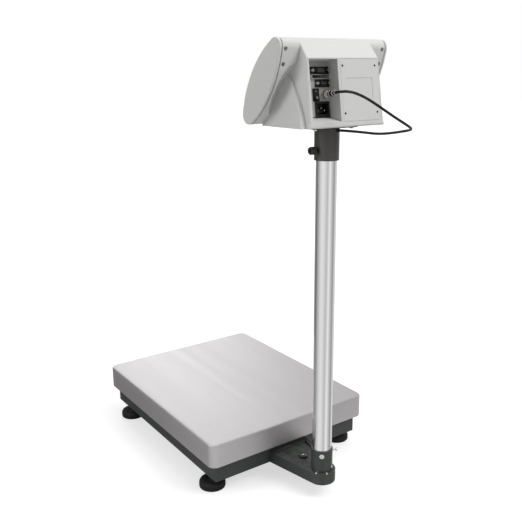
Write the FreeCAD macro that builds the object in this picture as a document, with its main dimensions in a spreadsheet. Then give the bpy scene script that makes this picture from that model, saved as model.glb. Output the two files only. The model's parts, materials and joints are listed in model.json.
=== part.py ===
"""Platform shipping scale: a low weighing platform with a display head on a rear column.

Millimetres.  The origin is on the floor under the middle of the whole scale, +Z is up, the
operator stands at -Y and looks along +Y, and the column stands behind the platter.
"""
import FreeCAD
import Part
import Sketcher
import math
import os
import re

Vector = FreeCAD.Vector
Rotation = FreeCAD.Rotation
Placement = FreeCAD.Placement

doc = FreeCAD.newDocument("platform_scale")
nodes = {}

# ---------------------------------------------------------------- driving dimensions
DIMENSIONS = (
    # platter and the frame below it
    ("platter_width", 390), ("platter_length", 480), ("platter_middle", -75), ("platter_top", 119),
    ("platter_skirt", 48.5), ("platter_sheet", 1.5), ("platter_corner", 16), ("platter_bend", 3),
    ("frame_width", 360), ("frame_length", 454), ("frame_bottom", 31),
    ("rail_width", 30), ("rail_height", 40), ("rail_wall", 2.5),
    ("beam_width", 80), ("beam_height", 18), ("beam_middle", -125),
    # load cell and the spider that carries the platter
    ("cell_width", 40), ("cell_length", 150), ("cell_height", 32), ("cell_hole", 10),
    ("cell_bolt_gap", 24), ("cell_bolt_radius", 3), ("spacer_length", 50), ("spacer_height", 4),
    ("spider_bar_width", 30), ("spider_bar_length", 430), ("spider_height", 25),
    ("spider_spread", 240), ("spider_wall", 2), ("pad_radius", 12), ("pad_spread", 360),
    ("stop_radius", 5), ("stop_gap", 1),
    # levelling feet
    ("foot_radius", 27), ("foot_height", 17), ("foot_round", 5), ("foot_spread_x", 330),
    ("foot_spread_y", 376), ("stud_radius", 5), ("stud_top", 58), ("stud_hex", 7), ("nut_hex", 9.8),
    ("nut_height", 7), ("thread_gap", 0.05),
    # column bracket, column and head clamp
    ("column_y", 260), ("bracket_width", 98), ("bracket_end_radius", 27), ("bracket_height", 23),
    ("bracket_rim", 7), ("bracket_recess", 4), ("socket_radius", 21), ("socket_top", 99.5),
    ("socket_floor", 6), ("level_y", 202), ("level_radius", 9), ("level_height", 6),
    ("column_radius", 19), ("column_wall", 1.5), ("column_top", 714),
    ("sleeve_radius", 22.2), ("sleeve_bottom", 662), ("sleeve_gap", 0.05), ("knob_height", 680),
    ("knob_radius", 7), ("knob_length", 11), ("knob_stem", 3), ("knob_gap", 4.5),
    ("plate_width", 100), ("plate_front", -46), ("plate_length", 73), ("plate_sheet", 4),
    # display head, measured from the column axis
    ("head_bottom", 722), ("head_width", 234), ("head_wall", 3), ("end_plate", 4),
    ("end_groove", 2), ("front_radius", 175), ("back_radius", 190),
    ("top_round_y", 6), ("top_round_z", 851), ("top_round_radius", 15),
    ("low_round_y", -72), ("low_round_z", 741), ("low_round_radius", 16.5),
    ("rear_top_y", 40), ("rear_top_z", 834), ("rear_lean", 8), ("rear_top_half", 77.8),
    ("rear_low_half", 82), ("rear_edge_round", 2.5), ("ridge_round", 1.5), ("end_round", 1.2),
    ("cheek_apex_y", -13), ("cheek_apex_z", 817), ("cheek_foot_y", 46), ("cheek_top_step", 3),
    ("cheek_low_step", 11), ("cheek_bow_y", -132.5), ("cheek_bow_z", 676.8), ("cheek_bow_radius", 184),
    ("scoop_side", 80), ("scoop_out", 73), ("scoop_up", 66), ("scoop_across", 39),
    ("scoop_depth", 60), ("scoop_along", 104),
    ("bay_left", 14.5), ("bay_width", 60), ("bay_depth", 25), ("bay_top", -2), ("bay_foot", -103.5),
    ("bay_rise", 10), ("bay_wall", 2),
    ("cover_left", -76), ("cover_width", 85), ("cover_top", -2), ("cover_height", 101.5),
    ("cover_sheet", 2.5), ("panel_width", 200), ("panel_height", 116), ("panel_sheet", 2),
    ("panel_gap", 0.1),
    ("window_width", 160), ("window_height", 40), ("window_rise", 28),
    ("key_width", 22), ("key_height", 14), ("key_pitch", 36), ("key_drop", -28), ("key_proud", 1),
    # cable between the column and the head
    ("cable_radius", 2.25), ("grommet_radius", 3.2),
)
# names used inside formulas that aren't sheet aliases
FORMULA_WORDS = ("sqrt", "cos", "sin", "tan", "deg")

sheet = doc.addObject("Spreadsheet::Sheet", "sizes")
for row, (alias, number) in enumerate(DIMENSIONS, start=1):
    sheet.set("A%d" % row, alias.replace("_", " "))
    sheet.set("B%d" % row, str(number))
    sheet.setAlias("B%d" % row, alias)
doc.recompute()


def size(alias):
    return float(sheet.get(alias))


def formula(text):
    """Point every dimension named in a formula at its cell in the sheet."""
    def cell(match):
        word = match.group(0)
        return word if word in FORMULA_WORDS else "sizes." + word
    return re.sub(r"[a-z][a-z_]+", cell, str(text))


def number(text):
    """The present value of a formula, for code that needs it as a number."""
    return float(doc.sizes.evalExpression(formula(text)))


def bind(thing, **formulas):
    for path, text in formulas.items():
        thing.setExpression(path.replace("__", "."), formula(text))
    return thing


def place(thing, x=0, y=0, z=0, turn=None):
    """Put an object at a bound position, turned about its own origin."""
    if turn is not None:
        thing.Placement = Placement(Vector(), turn)
    return bind(thing, Placement__Base__x=x, Placement__Base__y=y, Placement__Base__z=z)


def towards(x, y, z):
    return Rotation(Vector(0, 0, 1), Vector(x, y, z))


ALONG_X = towards(1, 0, 0)
ALONG_Y = towards(0, 1, 0)


def box(name, corner, lengths):
    solid = doc.addObject("Part::Box", name)
    bind(solid, Length=lengths[0], Width=lengths[1], Height=lengths[2])
    return place(solid, *corner)


def slab(name, middle, lengths):
    """A box given by the middle of its bottom face."""
    corner = ("%s - (%s) / 2" % (middle[0], lengths[0]), "%s - (%s) / 2" % (middle[1], lengths[1]), middle[2])
    return box(name, corner, lengths)


def cylinder(name, start, radius, length, turn=None):
    solid = doc.addObject("Part::Cylinder", name)
    bind(solid, Radius=radius, Height=length)
    return place(solid, *start, turn=turn)


def hexagon(name, start, circumradius, length, turn=None):
    solid = doc.addObject("Part::Prism", name)
    solid.Polygon = 6
    bind(solid, Circumradius=circumradius, Height=length)
    return place(solid, *start, turn=turn)


def fuse(name, *pieces):
    solid = doc.addObject("Part::MultiFuse", name)
    solid.Shapes = list(pieces)
    return solid


def cut(name, base, *tools):
    solid = doc.addObject("Part::Cut", name)
    solid.Base = base
    solid.Tool = tools[0] if len(tools) == 1 else fuse(name + "_tools", *tools)
    return solid


def common(name, *pieces):
    solid = doc.addObject("Part::MultiCommon", name)
    solid.Shapes = list(pieces)
    return solid


def group(name, pieces):
    """Separate solids that share a node, such as a set of the same screw."""
    solid = doc.addObject("Part::Compound", name)
    solid.Links = list(pieces)
    return solid


def node(name, thing):
    thing.Label = name
    nodes[name] = thing
    return thing


def screw(name, start, turn, head_radius, head_height, shank_radius, shank_length, drive=None):
    """A screw whose head stands on `start` and whose shank goes the other way along `turn`."""
    head = cylinder(name + "_head", (0, 0, 0), head_radius, head_height)
    shank = cylinder(name + "_shank", (0, 0, "-(%s)" % shank_length), shank_radius,
                     "%s + %s / 2" % (shank_length, head_height))
    if drive is None:
        return place(fuse(name, head, shank), *start, turn=turn)
    socket = hexagon(name + "_drive", (0, 0, "%s * 0.5" % head_height), drive, head_height)
    return place(cut(name, fuse(name + "_blank", head, shank), socket), *start, turn=turn)


def new_body(name):
    return doc.addObject("PartDesign::Body", name)


def origin_plane(body, role):
    return next(feature for feature in body.Origin.OriginFeatures if feature.Role == role)


def feature(body, kind, name, **formulas):
    return bind(body.newObject("PartDesign::" + kind, name), **formulas)


def round_edges(body, name, radius, wanted):
    """Fillet the edges of the body's tip that `wanted` picks out."""
    doc.recompute()
    base = body.Tip
    edges = ["Edge%d" % (i + 1) for i, edge in enumerate(base.Shape.Edges) if wanted(edge)]
    rounding = body.newObject("PartDesign::Fillet", name)
    rounding.Base = (base, edges)
    return bind(rounding, Radius=radius)


def is_upright(edge):
    return len(edge.Vertexes) == 2 and abs(edge.tangentAt(edge.FirstParameter).z) > 0.99


def edge_height(edge):
    return edge.BoundBox.Center.z


def sketch_on(owner, name, role):
    """A sketch on an origin plane of a body, or on the same plane of the document."""
    if owner is None:
        sketch = doc.addObject("Sketcher::SketchObject", name)
        if role == "YZ_Plane":
            sketch.Placement = Placement(Vector(), Rotation(Vector(1, 1, 1), 120))
        return sketch
    sketch = owner.newObject("Sketcher::SketchObject", name)
    sketch.AttachmentSupport = [(origin_plane(owner, role), "")]
    sketch.MapMode = "FlatFace"
    return sketch


def pin_point(sketch, geometry, end, label, across, up):
    """Hold one sketch point at a bound distance from the sketch's origin."""
    for kind, text in (("DistanceX", across), ("DistanceY", up)):
        index = sketch.addConstraint(Sketcher.Constraint(kind, -1, 1, geometry, end, number(text)))
        sketch.renameConstraint(index, "%s_%s" % (label, kind[-1].lower()))
        sketch.setExpression("Constraints.%s_%s" % (label, kind[-1].lower()), formula(text))


def polygon(owner, name, role, corners):
    """A closed outline of straight lines through bound corners."""
    sketch = sketch_on(owner, name, role)
    points = [Vector(number(across), number(up), 0) for across, up in corners]
    count = len(points)
    for i in range(count):
        sketch.addGeometry(Part.LineSegment(points[i], points[(i + 1) % count]), False)
    for i in range(count):
        sketch.addConstraint(Sketcher.Constraint("Coincident", i, 2, (i + 1) % count, 1))
    for i, (across, up) in enumerate(corners):
        pin_point(sketch, i, 1, "corner%s" % "abcdefgh"[i], across, up)
    return sketch


def prism(name, sketch, length):
    """A sketch on the YZ plane made solid equally to both sides along X."""
    solid = doc.addObject("Part::Extrusion", name)
    solid.Base = sketch
    solid.DirMode = "Custom"
    solid.Dir = Vector(1, 0, 0)
    solid.Solid = True
    solid.Symmetric = True
    return bind(solid, LengthFwd=length)


def tube(name, corner, lengths, wall):
    """A closed rectangular tube: a box with a sealed hollow."""
    outside = box(name + "_outside", corner, lengths)
    inside = box(name + "_inside", ["%s + %s" % (c, wall) for c in corner],
                 ["%s - 2 * %s" % (length, wall) for length in lengths])
    return outside, inside


# ---------------------------------------------------------------- base frame
FRAME_FRONT = "(platter_middle - frame_length / 2)"
FRAME_REAR = "(platter_middle + frame_length / 2)"
SIDES = (("left", 1), ("right", -1))
FOOT_CORNERS = [(side + "_" + end, sx, sy) for end, sy in (("rear", 1), ("front", -1)) for side, sx in SIDES]


def foot_place(sx, sy):
    return "%d * foot_spread_x / 2" % sx, "platter_middle + %d * foot_spread_y / 2" % sy


def side_rail(side, sx):
    outer = "frame_width / 2 - rail_width" if sx > 0 else "-frame_width / 2"
    outside, inside = tube(side + "_rail", (outer, FRAME_FRONT, "frame_bottom"),
                           ("rail_width", "frame_length", "rail_height"), "rail_wall")
    threads = []
    for sy in (1, -1):
        x, y = foot_place(sx, sy)
        threads.append(cylinder("%s_rail_thread%d" % (side, sy + 1), (x, y, "frame_bottom - 1"),
                                "stud_radius + thread_gap", "rail_wall + 2"))
    return node("side_rail_" + side, cut("side_rail_" + side, outside, inside, *threads))


def cross_rail(name, front):
    outside, inside = tube(name, ("-frame_width / 2 + rail_width", front, "frame_bottom"),
                           ("frame_width - 2 * rail_width", "rail_width", "rail_height"), "rail_wall")
    return outside, inside


def overload_stops():
    """Set screws that the loaded spider would land on before the cell bends too far."""
    stops = []
    for sx in (1, -1):
        for sy in (1, -1):
            y = "platter_middle + %d * (frame_length - rail_width) / 2" % sy
            name = "stop%d%d" % (sx + 1, sy + 1)
            stem = cylinder(name + "_stem", ("%d * spider_spread / 2" % sx, y, "frame_bottom + rail_height"),
                            "stop_radius", SPIDER_GAP)
            collar = hexagon(name + "_collar", ("%d * spider_spread / 2" % sx, y, "frame_bottom + rail_height"),
                             "stop_radius * 1.7", 5)
            stops.append(fuse(name, stem, collar))
    return node("overload_stops", group("overload_stops", stops))


CELL_BOTTOM = "(frame_bottom + beam_height)"
CELL_TOP = "(frame_bottom + beam_height + cell_height)"
SPIDER_BOTTOM = "(frame_bottom + beam_height + cell_height + spacer_height)"
SPIDER_TOP = "(frame_bottom + beam_height + cell_height + spacer_height + spider_height)"
SPIDER_GAP = "%s - frame_bottom - rail_height - stop_gap" % SPIDER_BOTTOM
CELL_REAR = "(platter_middle + cell_length / 2)"
CELL_FRONT = "(platter_middle - cell_length / 2)"


def cell_bolts(name, middle, head_z, turn, length):
    bolts = []
    for step in (-1, 1):
        bolts.append(screw("%s_%d" % (name, step + 1), (0, "%s + %d * cell_bolt_gap / 2" % (middle, step), head_z),
                           turn, "cell_bolt_radius * 1.7", "cell_bolt_radius * 1.6", "cell_bolt_radius", length, 2.5))
    return node(name, group(name, bolts))


def load_cell(lower_bolts, upper_bolts):
    """A single-point bar cell: solid ends round a weakened middle of two joined holes."""
    bar = box("cell_bar", ("-cell_width / 2", CELL_FRONT, CELL_BOTTOM), ("cell_width", "cell_length", "cell_height"))
    middle_z = "%s + cell_height / 2" % CELL_BOTTOM
    holes = [cylinder("cell_hole%d" % (step + 1), ("-cell_width / 2 - 1", "platter_middle + %d * cell_hole * 0.9" % step,
                                                   middle_z), "cell_hole", "cell_width + 2", ALONG_X) for step in (-1, 1)]
    return node("load_cell", cut("load_cell", bar, lower_bolts, upper_bolts, *holes))


def base_frame():
    for side, sx in SIDES:
        side_rail(side, sx)
    outside, inside = cross_rail("front_rail", FRAME_FRONT)
    node("front_rail", cut("front_rail", outside, inside))
    bolts = bracket_bolts()
    outside, inside = cross_rail("rear_rail", FRAME_REAR + " - rail_width")
    node("rear_rail", cut("rear_rail", outside, inside, bolts))
    lower = cell_bolts("cell_bolts_lower", CELL_FRONT + " + spacer_length / 2", "frame_bottom", towards(0, 0, -1), 30)
    upper = cell_bolts("cell_bolts_upper", CELL_REAR + " - spacer_length / 2", SPIDER_BOTTOM + " + spider_wall",
                       None, 20)
    outside, inside = tube("beam", ("-frame_width / 2 + rail_width", "beam_middle - beam_width / 2", "frame_bottom"),
                           ("frame_width - 2 * rail_width", "beam_width", "beam_height"), "spider_wall")
    node("cell_beam", cut("cell_beam", outside, inside, lower))
    load_cell(lower, upper)
    overload_stops()
    return upper, bolts


# ---------------------------------------------------------------- spider, pads and platter
def spider(upper_bolts):
    spacer = slab("spacer", (0, CELL_REAR + " - spacer_length / 2", CELL_TOP),
                  ("cell_width", "spacer_length", "spacer_height"))
    node("cell_spacer", cut("cell_spacer", spacer, upper_bolts))
    outside, inside = tube("cross", ("-(spider_spread - spider_bar_width) / 2", CELL_FRONT, SPIDER_BOTTOM),
                           ("spider_spread - spider_bar_width", "cell_length", "spider_height"), "spider_wall")
    node("spider_cross", cut("spider_cross", outside, inside, upper_bolts))
    for side, sx in SIDES:
        outside, inside = tube("spider_" + side, ("%d * spider_spread / 2 - spider_bar_width / 2" % sx,
                                                  "platter_middle - spider_bar_length / 2", SPIDER_BOTTOM),
                               ("spider_bar_width", "spider_bar_length", "spider_height"), "spider_wall")
        node("spider_bar_" + side, cut("spider_bar_" + side, outside, inside))
    pads = [cylinder("pad%d%d" % (sx + 1, sy + 1), ("%d * spider_spread / 2" % sx,
                                                    "platter_middle + %d * pad_spread / 2" % sy, SPIDER_TOP),
                     "pad_radius", "platter_top - platter_sheet - %s" % SPIDER_TOP)
            for sx in (1, -1) for sy in (1, -1)]
    node("platter_pads", group("platter_pads", pads))


def platter():
    """A folded sheet tray, upside down: flat top, rounded corners and a skirt all round."""
    body = new_body("platter")
    feature(body, "AdditiveBox", "platter_block", Length="platter_width", Width="platter_length",
            Height="platter_skirt")
    round_edges(body, "platter_corners", "platter_corner", is_upright)
    round_edges(body, "platter_bend_line", "platter_bend", lambda edge: edge_height(edge) > size("platter_skirt") - 0.01)
    doc.recompute()
    under = ["Face%d" % (i + 1) for i, face in enumerate(body.Tip.Shape.Faces)
             if abs(face.BoundBox.ZMax) < 0.01]
    hollow = body.newObject("PartDesign::Thickness", "platter_hollow")
    hollow.Base = (body.Group[-2], under)
    hollow.Reversed = True
    bind(hollow, Value="platter_sheet")
    place(body, "-platter_width / 2", "platter_middle - platter_length / 2", "platter_top - platter_skirt")
    return node("platter", body)


# ---------------------------------------------------------------- levelling feet
def levelling_foot(name, sx, sy):
    x, y = foot_place(sx, sy)
    body = new_body("foot_pad_" + name)
    feature(body, "AdditiveCylinder", name + "_disc", Radius="foot_radius", Height="foot_height")
    round_edges(body, name + "_rounding", "foot_round", lambda edge: edge.Length > size("foot_radius"))
    seat = feature(body, "SubtractiveCylinder", name + "_seat", Radius="stud_radius + thread_gap",
                   Height="foot_height")
    bind(seat, Placement__Base__z="foot_height / 2")
    place(body, x, y, 0)
    node("foot_pad_" + name, body)
    stem = cylinder(name + "_stem", (x, y, "foot_height / 2"), "stud_radius", "stud_top - foot_height / 2")
    grip = hexagon(name + "_grip", (x, y, "foot_height + thread_gap"), "stud_hex", 3)
    node("foot_stud_" + name, fuse("foot_stud_" + name, stem, grip))
    nut = hexagon(name + "_nut", (x, y, "frame_bottom - nut_height"), "nut_hex", "nut_height")
    bore = cylinder(name + "_nut_bore", (x, y, "frame_bottom - nut_height - 1"), "stud_radius + thread_gap",
                    "nut_height + 2")
    return cut(name + "_lock_nut", nut, bore)


# ---------------------------------------------------------------- column bracket and column
def bracket_bolts():
    """Two bolts from inside the rear rail into the bracket's end."""
    bolts = [screw("bracket_bolt%d" % (sx + 1), ("%d * bracket_width * 0.3" % sx, FRAME_REAR + " - rail_wall",
                                                 "frame_bottom + bracket_height / 2"),
                   towards(0, -1, 0), 6.5, 5, 4, 22, 3) for sx in (1, -1)]
    return node("bracket_bolts", group("bracket_bolts", bolts))


def radial(angle, radius):
    """Formulas for a point round the column."""
    return "%s * %.6f" % (radius, math.cos(angle)), "column_y + %s * %.6f" % (radius, math.sin(angle))


def socket_screws():
    """One domed clamp screw, one long clamp screw and one small grub screw hold the column."""
    kinds = (("clamp", 50, 91.5, 4.8, 3.2, 3, 4), ("long", 140, 95.5, 3.2, 3, 2, 9), ("grub", 115, 63, 2.8, 1.6, 2, 4))
    screws = []
    for name, degrees, height, head_radius, head_height, shank_radius, stand_off in kinds:
        angle = math.radians(degrees)
        reach = "socket_radius - 0.4" if name != "long" else "socket_radius + 6"
        x, y = radial(angle, "(%s)" % reach)
        length = "%s - column_radius" % reach
        screws.append(screw("socket_%s_screw" % name, (x, y, height), towards(math.cos(angle), math.sin(angle), 0),
                            head_radius, head_height, shank_radius, length, shank_radius * 0.7))
    return node("socket_screws", group("socket_screws", screws))


def bracket_screws():
    """Four small screws in the top of the bracket's round end, beside the socket."""
    screws = []
    for degrees in (25, 75, 205, 255):
        x, y = radial(math.radians(degrees), "((socket_radius + bracket_end_radius) / 2)")
        screws.append(screw("bracket_screw_%d" % degrees, (x, y, "frame_bottom + bracket_height"), None,
                            2.8, 1.8, 1.5, 10, 1.2))
    return node("bracket_screws", group("bracket_screws", screws))


def bracket_outline(body):
    """A wedge that narrows from the frame to a half round about the column."""
    half = number("bracket_width / 2")
    reach = number("column_y - %s" % FRAME_REAR)
    radius = size("bracket_end_radius")
    distance = math.hypot(half, reach)
    lean = math.atan2(half, reach) + math.asin(-radius / distance)
    tangent = Vector(radius * math.cos(lean), size("column_y") + radius * math.sin(lean), 0)
    rear = number(FRAME_REAR)
    sketch = sketch_on(body, "bracket_outline", "XY_Plane")
    mirrored = Vector(-tangent.x, tangent.y, 0)
    arc = Part.ArcOfCircle(Part.Circle(Vector(0, size("column_y"), 0), Vector(0, 0, 1), radius), lean, math.pi - lean)
    sketch.addGeometry(Part.LineSegment(Vector(-half, rear, 0), Vector(half, rear, 0)), False)
    sketch.addGeometry(Part.LineSegment(Vector(half, rear, 0), tangent), False)
    sketch.addGeometry(arc, False)
    sketch.addGeometry(Part.LineSegment(mirrored, Vector(-half, rear, 0)), False)
    sketch.addConstraint(Sketcher.Constraint("Coincident", 0, 2, 1, 1))
    sketch.addConstraint(Sketcher.Constraint("Tangent", 1, 2, 2, 1))
    sketch.addConstraint(Sketcher.Constraint("Tangent", 2, 2, 3, 1))
    sketch.addConstraint(Sketcher.Constraint("Coincident", 3, 2, 0, 1))
    pin_point(sketch, 0, 1, "left_end", "-bracket_width / 2", FRAME_REAR)
    pin_point(sketch, 0, 2, "right_end", "bracket_width / 2", FRAME_REAR)
    pin_point(sketch, 2, 3, "axis", "0", "column_y")
    index = sketch.addConstraint(Sketcher.Constraint("Radius", 2, radius))
    sketch.renameConstraint(index, "end_radius")
    sketch.setExpression("Constraints.end_radius", formula("bracket_end_radius"))
    return sketch


def pole_bracket(screws, ledge_screws, bolts):
    body = new_body("bracket_casting")
    outline = bracket_outline(body)
    block = feature(body, "Pad", "bracket_block", Length="bracket_height")
    block.Profile = outline
    recess_front = FRAME_REAR + " + bracket_rim"
    recess_rear = "column_y - socket_radius"
    recess = polygon(body, "bracket_recess_outline", "XY_Plane", (
        ("-bracket_width / 2 + bracket_rim + 2", recess_front), ("bracket_width / 2 - bracket_rim - 2", recess_front),
        ("bracket_end_radius - bracket_rim + 3", recess_rear), ("-bracket_end_radius + bracket_rim - 3", recess_rear)))
    bind(recess, AttachmentOffset__Base__z="bracket_height")
    pocket = feature(body, "Pocket", "bracket_pocket", Length="bracket_recess")
    pocket.Profile = recess
    socket = feature(body, "AdditiveCylinder", "bracket_socket", Radius="socket_radius",
                     Height="socket_top - frame_bottom")
    bind(socket, Placement__Base__y="column_y")
    bore = feature(body, "SubtractiveCylinder", "bracket_bore", Radius="column_radius",
                   Height="socket_top - frame_bottom")
    bind(bore, Placement__Base__y="column_y", Placement__Base__z="socket_floor")
    place(body, 0, 0, "frame_bottom")
    return node("pole_bracket", cut("pole_bracket", body, screws, ledge_screws, bolts))


def bubble_level():
    """A round level let into the bracket's recess: a cup under a clear lid."""
    floor = "frame_bottom + bracket_height - bracket_recess"
    cup = cylinder("level_cup", (0, "level_y", floor), "level_radius", "level_height")
    well = cylinder("level_well", (0, "level_y", floor + " + 1.5"), "level_radius - 2.2", "level_height")
    node("bubble_level_body", cut("bubble_level_body", cup, well))
    lid = cylinder("level_lid", (0, "level_y", floor + " + 1.5"), "level_radius - 2.2", "level_height - 1.9")
    node("bubble_level_lens", lid)


def column():
    bottom = "frame_bottom + socket_floor"
    outside = cylinder("column_outside", (0, "column_y", bottom), "column_radius", "column_top - (%s)" % bottom)
    inside = cylinder("column_inside", (0, "column_y", bottom + " - 1"), "column_radius - column_wall",
                      "column_top - (%s) + 2" % bottom)
    node("pole", cut("pole", outside, inside))


# ---------------------------------------------------------------- head clamp
SLEEVE_TOP = "(head_bottom - plate_sheet)"
CABLE_EXIT = math.radians(104)


def neck_sleeve():
    outside = cylinder("sleeve_outside", (0, "column_y", "sleeve_bottom"), "sleeve_radius",
                       SLEEVE_TOP + " - sleeve_bottom")
    inside = cylinder("sleeve_inside", (0, "column_y", "sleeve_bottom - 1"), "column_radius + sleeve_gap",
                      SLEEVE_TOP + " - sleeve_bottom - 2")
    thread = cylinder("sleeve_thread", (0, "column_y", "knob_height"), "knob_stem + sleeve_gap", "sleeve_radius + 2",
                      ALONG_X)
    outlet = cylinder("sleeve_outlet", (0, "column_y", CABLE_ORIGIN_Z), "grommet_radius", "sleeve_radius + 2",
                      towards(math.cos(CABLE_EXIT), math.sin(CABLE_EXIT), 0))
    node("neck_sleeve", cut("neck_sleeve", outside, inside, thread, outlet))
    ring_x, ring_y = radial(CABLE_EXIT, "(column_radius + 1)")
    ring = cylinder("grommet_ring", (ring_x, ring_y, CABLE_ORIGIN_Z), "grommet_radius", "sleeve_radius - column_radius",
                    towards(math.cos(CABLE_EXIT), math.sin(CABLE_EXIT), 0))
    node("cable_grommet", ring)


CABLE_ORIGIN_Z = "(head_bottom - plate_sheet - 3.8)"


def clamp_knob():
    stem = cylinder("knob_stud", ("column_radius + sleeve_gap", "column_y", "knob_height"), "knob_stem",
                    "sleeve_radius - column_radius + knob_gap + 2", ALONG_X)
    grip = cylinder("knob_grip", ("sleeve_radius + knob_gap", "column_y", "knob_height"), "knob_radius", "knob_length",
                    ALONG_X)
    drive = hexagon("knob_drive", ("sleeve_radius + knob_gap + knob_length - 3", "column_y", "knob_height"), 3, 4, ALONG_X)
    node("clamp_knob", cut("clamp_knob", fuse("knob_blank", stem, grip), drive))


def mounting_plate():
    screws = [screw("plate_screw%d%d" % (sx + 1, i), ("%d * (plate_width / 2 - 9)" % sx, "column_y + plate_front + %s" % y,
                                                      SLEEVE_TOP), towards(0, 0, -1), 3.5, 2.4, 2, 9, 1.6)
              for sx in (1, -1) for i, y in enumerate(("9", "plate_length - 9"))]
    fasteners = node("mounting_screws", group("mounting_screws", screws))
    body = new_body("mounting_sheet")
    feature(body, "AdditiveBox", "mounting_block", Length="plate_width", Width="plate_length", Height="plate_sheet")
    round_edges(body, "mounting_corners", 6, is_upright)
    place(body, "-plate_width / 2", "column_y + plate_front", SLEEVE_TOP)
    node("mounting_plate", cut("mounting_plate", body, fasteners))
    return fasteners


# ---------------------------------------------------------------- display head
def lens_circles():
    """Centres of the big front and back circles that touch both small rounds from outside."""
    top = Vector(size("top_round_y"), size("top_round_z"), 0)
    low = Vector(size("low_round_y"), size("low_round_z"), 0)
    chord = top - low
    span = chord.Length
    along = chord / span
    centres = []
    for big, side in ((size("front_radius"), 1), (size("back_radius"), -1)):
        to_low = big - size("low_round_radius")
        to_top = big - size("top_round_radius")
        step = (to_low ** 2 - to_top ** 2 + span ** 2) / (2 * span)
        rise = math.sqrt(to_low ** 2 - step ** 2)
        normal = Vector(along.y, -along.x, 0) * side
        centres.append(low + along * step + normal * rise)
    return top, low, centres[0], centres[1]


def lens_sketch(name, inset):
    """The head's side outline: two shallow arcs joined by two small rounds, all tangent."""
    top, low, front, back = lens_circles()
    drop = number(inset)
    radii = {"front": size("front_radius"), "top": size("top_round_radius"), "back": size("back_radius"),
             "low": size("low_round_radius")}

    def bearing(centre, through):
        return math.atan2(through.y - centre.y, through.x - centre.x)

    order = (("front", front, bearing(front, top), bearing(front, low)),
             ("low", low, bearing(front, low), bearing(back, low)),
             ("back", back, bearing(back, low), bearing(back, top)),
             ("top", top, bearing(back, top), bearing(front, top)))
    sketch = sketch_on(None, name, "YZ_Plane")
    for label, centre, begin, end in order:
        while end < begin:
            end += 2 * math.pi
        circle = Part.Circle(centre, Vector(0, 0, 1), radii[label] - drop)
        sketch.addGeometry(Part.ArcOfCircle(circle, begin, end), False)
    for i in range(4):
        sketch.addConstraint(Sketcher.Constraint("Tangent", i, 2, (i + 1) % 4, 1))
    pin_point(sketch, 1, 3, "low_centre", "low_round_y", "low_round_z")
    pin_point(sketch, 3, 3, "top_centre", "top_round_y", "top_round_z")
    for i, (label, centre, begin, end) in enumerate(order):
        index = sketch.addConstraint(Sketcher.Constraint("Radius", i, radii[label] - drop))
        sketch.renameConstraint(index, label + "_radius")
        alias = {"front": "front_radius", "back": "back_radius"}.get(label, label + "_round_radius")
        sketch.setExpression("Constraints.%s_radius" % label, formula("%s - %s" % (alias, inset)))
    return sketch


def on_column(thing):
    """Move a head piece, drawn about the column axis, out to the column."""
    return bind(thing, Placement__Base__y="column_y")


TOP, LOW, FRONT_CENTRE, BACK_CENTRE = lens_circles()
HEAD_LEAN = math.degrees(math.atan2(TOP.x - LOW.x, TOP.y - LOW.y))
LEANING = Rotation(Vector(1, 0, 0), -HEAD_LEAN)
REAR_TURN = Rotation(Vector(1, 0, 0), size("rear_lean"))


def in_rear_frame(thing):
    """Place a piece drawn on the rear face: X across, Y outwards, Z up from the top edge."""
    thing.Placement = Placement(Vector(), REAR_TURN)
    bind(thing, Placement__Base__y="column_y + rear_top_y", Placement__Base__z="rear_top_z")
    return thing


def in_front_frame(thing):
    """Place a piece drawn about the front arc's centre: -Y outwards, Z up along the face."""
    thing.Placement = Placement(Vector(0, size("column_y") + FRONT_CENTRE.x, FRONT_CENTRE.y), LEANING)
    return thing


def half_space(name, corner, lengths):
    """A big box drawn in the leaning frame of the parting plane."""
    solid = box(name, (0, 0, 0), lengths)
    offset = LEANING.multVec(Vector(*corner))
    solid.setExpression("Placement.Base.x", None)
    solid.setExpression("Placement.Base.y", None)
    solid.setExpression("Placement.Base.z", None)
    solid.Placement = Placement(Vector(0, size("column_y") + LOW.x, LOW.y) + offset, LEANING)
    return solid


def wedge(name, deep, shallow, depth_range):
    """A block between two rectangles (x low, x high, z low, z high) at two depths."""
    solid = doc.addObject("Part::Wedge", name)
    bind(solid, Ymin=depth_range[0], Ymax=depth_range[1], Xmin=deep[0], Xmax=deep[1], Zmin=deep[2], Zmax=deep[3],
         X2min=shallow[0], X2max=shallow[1], Z2min=shallow[2], Z2max=shallow[3])
    return solid


def tapered(name, low_half, top_half, top_z):
    """A tall block whose left and right sides lean in towards the top."""
    depth = 200
    solid = wedge(name, ("-(%s)" % low_half, low_half, -depth, depth), ("-(%s)" % top_half, top_half, -depth, depth),
                  (0, "%s - head_bottom" % top_z))
    solid.Placement = Placement(Vector(), Rotation(Vector(1, 0, 0), 90))
    return bind(solid, Placement__Base__y="column_y", Placement__Base__z="head_bottom")


def head_box(name, inset):
    """The head's rear box: side walls that lean in, a leaning rear face and a sloping roof."""
    rear_low = "rear_top_y + (rear_top_z - head_bottom - %s) * tan(rear_lean * 1 deg) - %s" % (inset, inset)
    outline = polygon(None, name + "_outline", "YZ_Plane", (
        ("low_round_y + 12", "head_bottom + " + inset), (rear_low, "head_bottom + " + inset),
        ("rear_top_y - " + inset, "rear_top_z - 0.5 * " + inset),
        ("top_round_y + 0.74 * (top_round_radius - %s)" % inset, "top_round_z + 0.66 * (top_round_radius - %s)" % inset),
        ("top_round_y - 20", "top_round_z - 6")))
    block = on_column(prism(name + "_block", outline, "head_width"))
    sides = tapered(name + "_sides", "rear_low_half - " + inset,
                    "rear_top_half - (rear_low_half - rear_top_half) * 0.3 - " + inset, "(rear_top_z + 34)")
    return common(name, block, sides)


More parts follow.
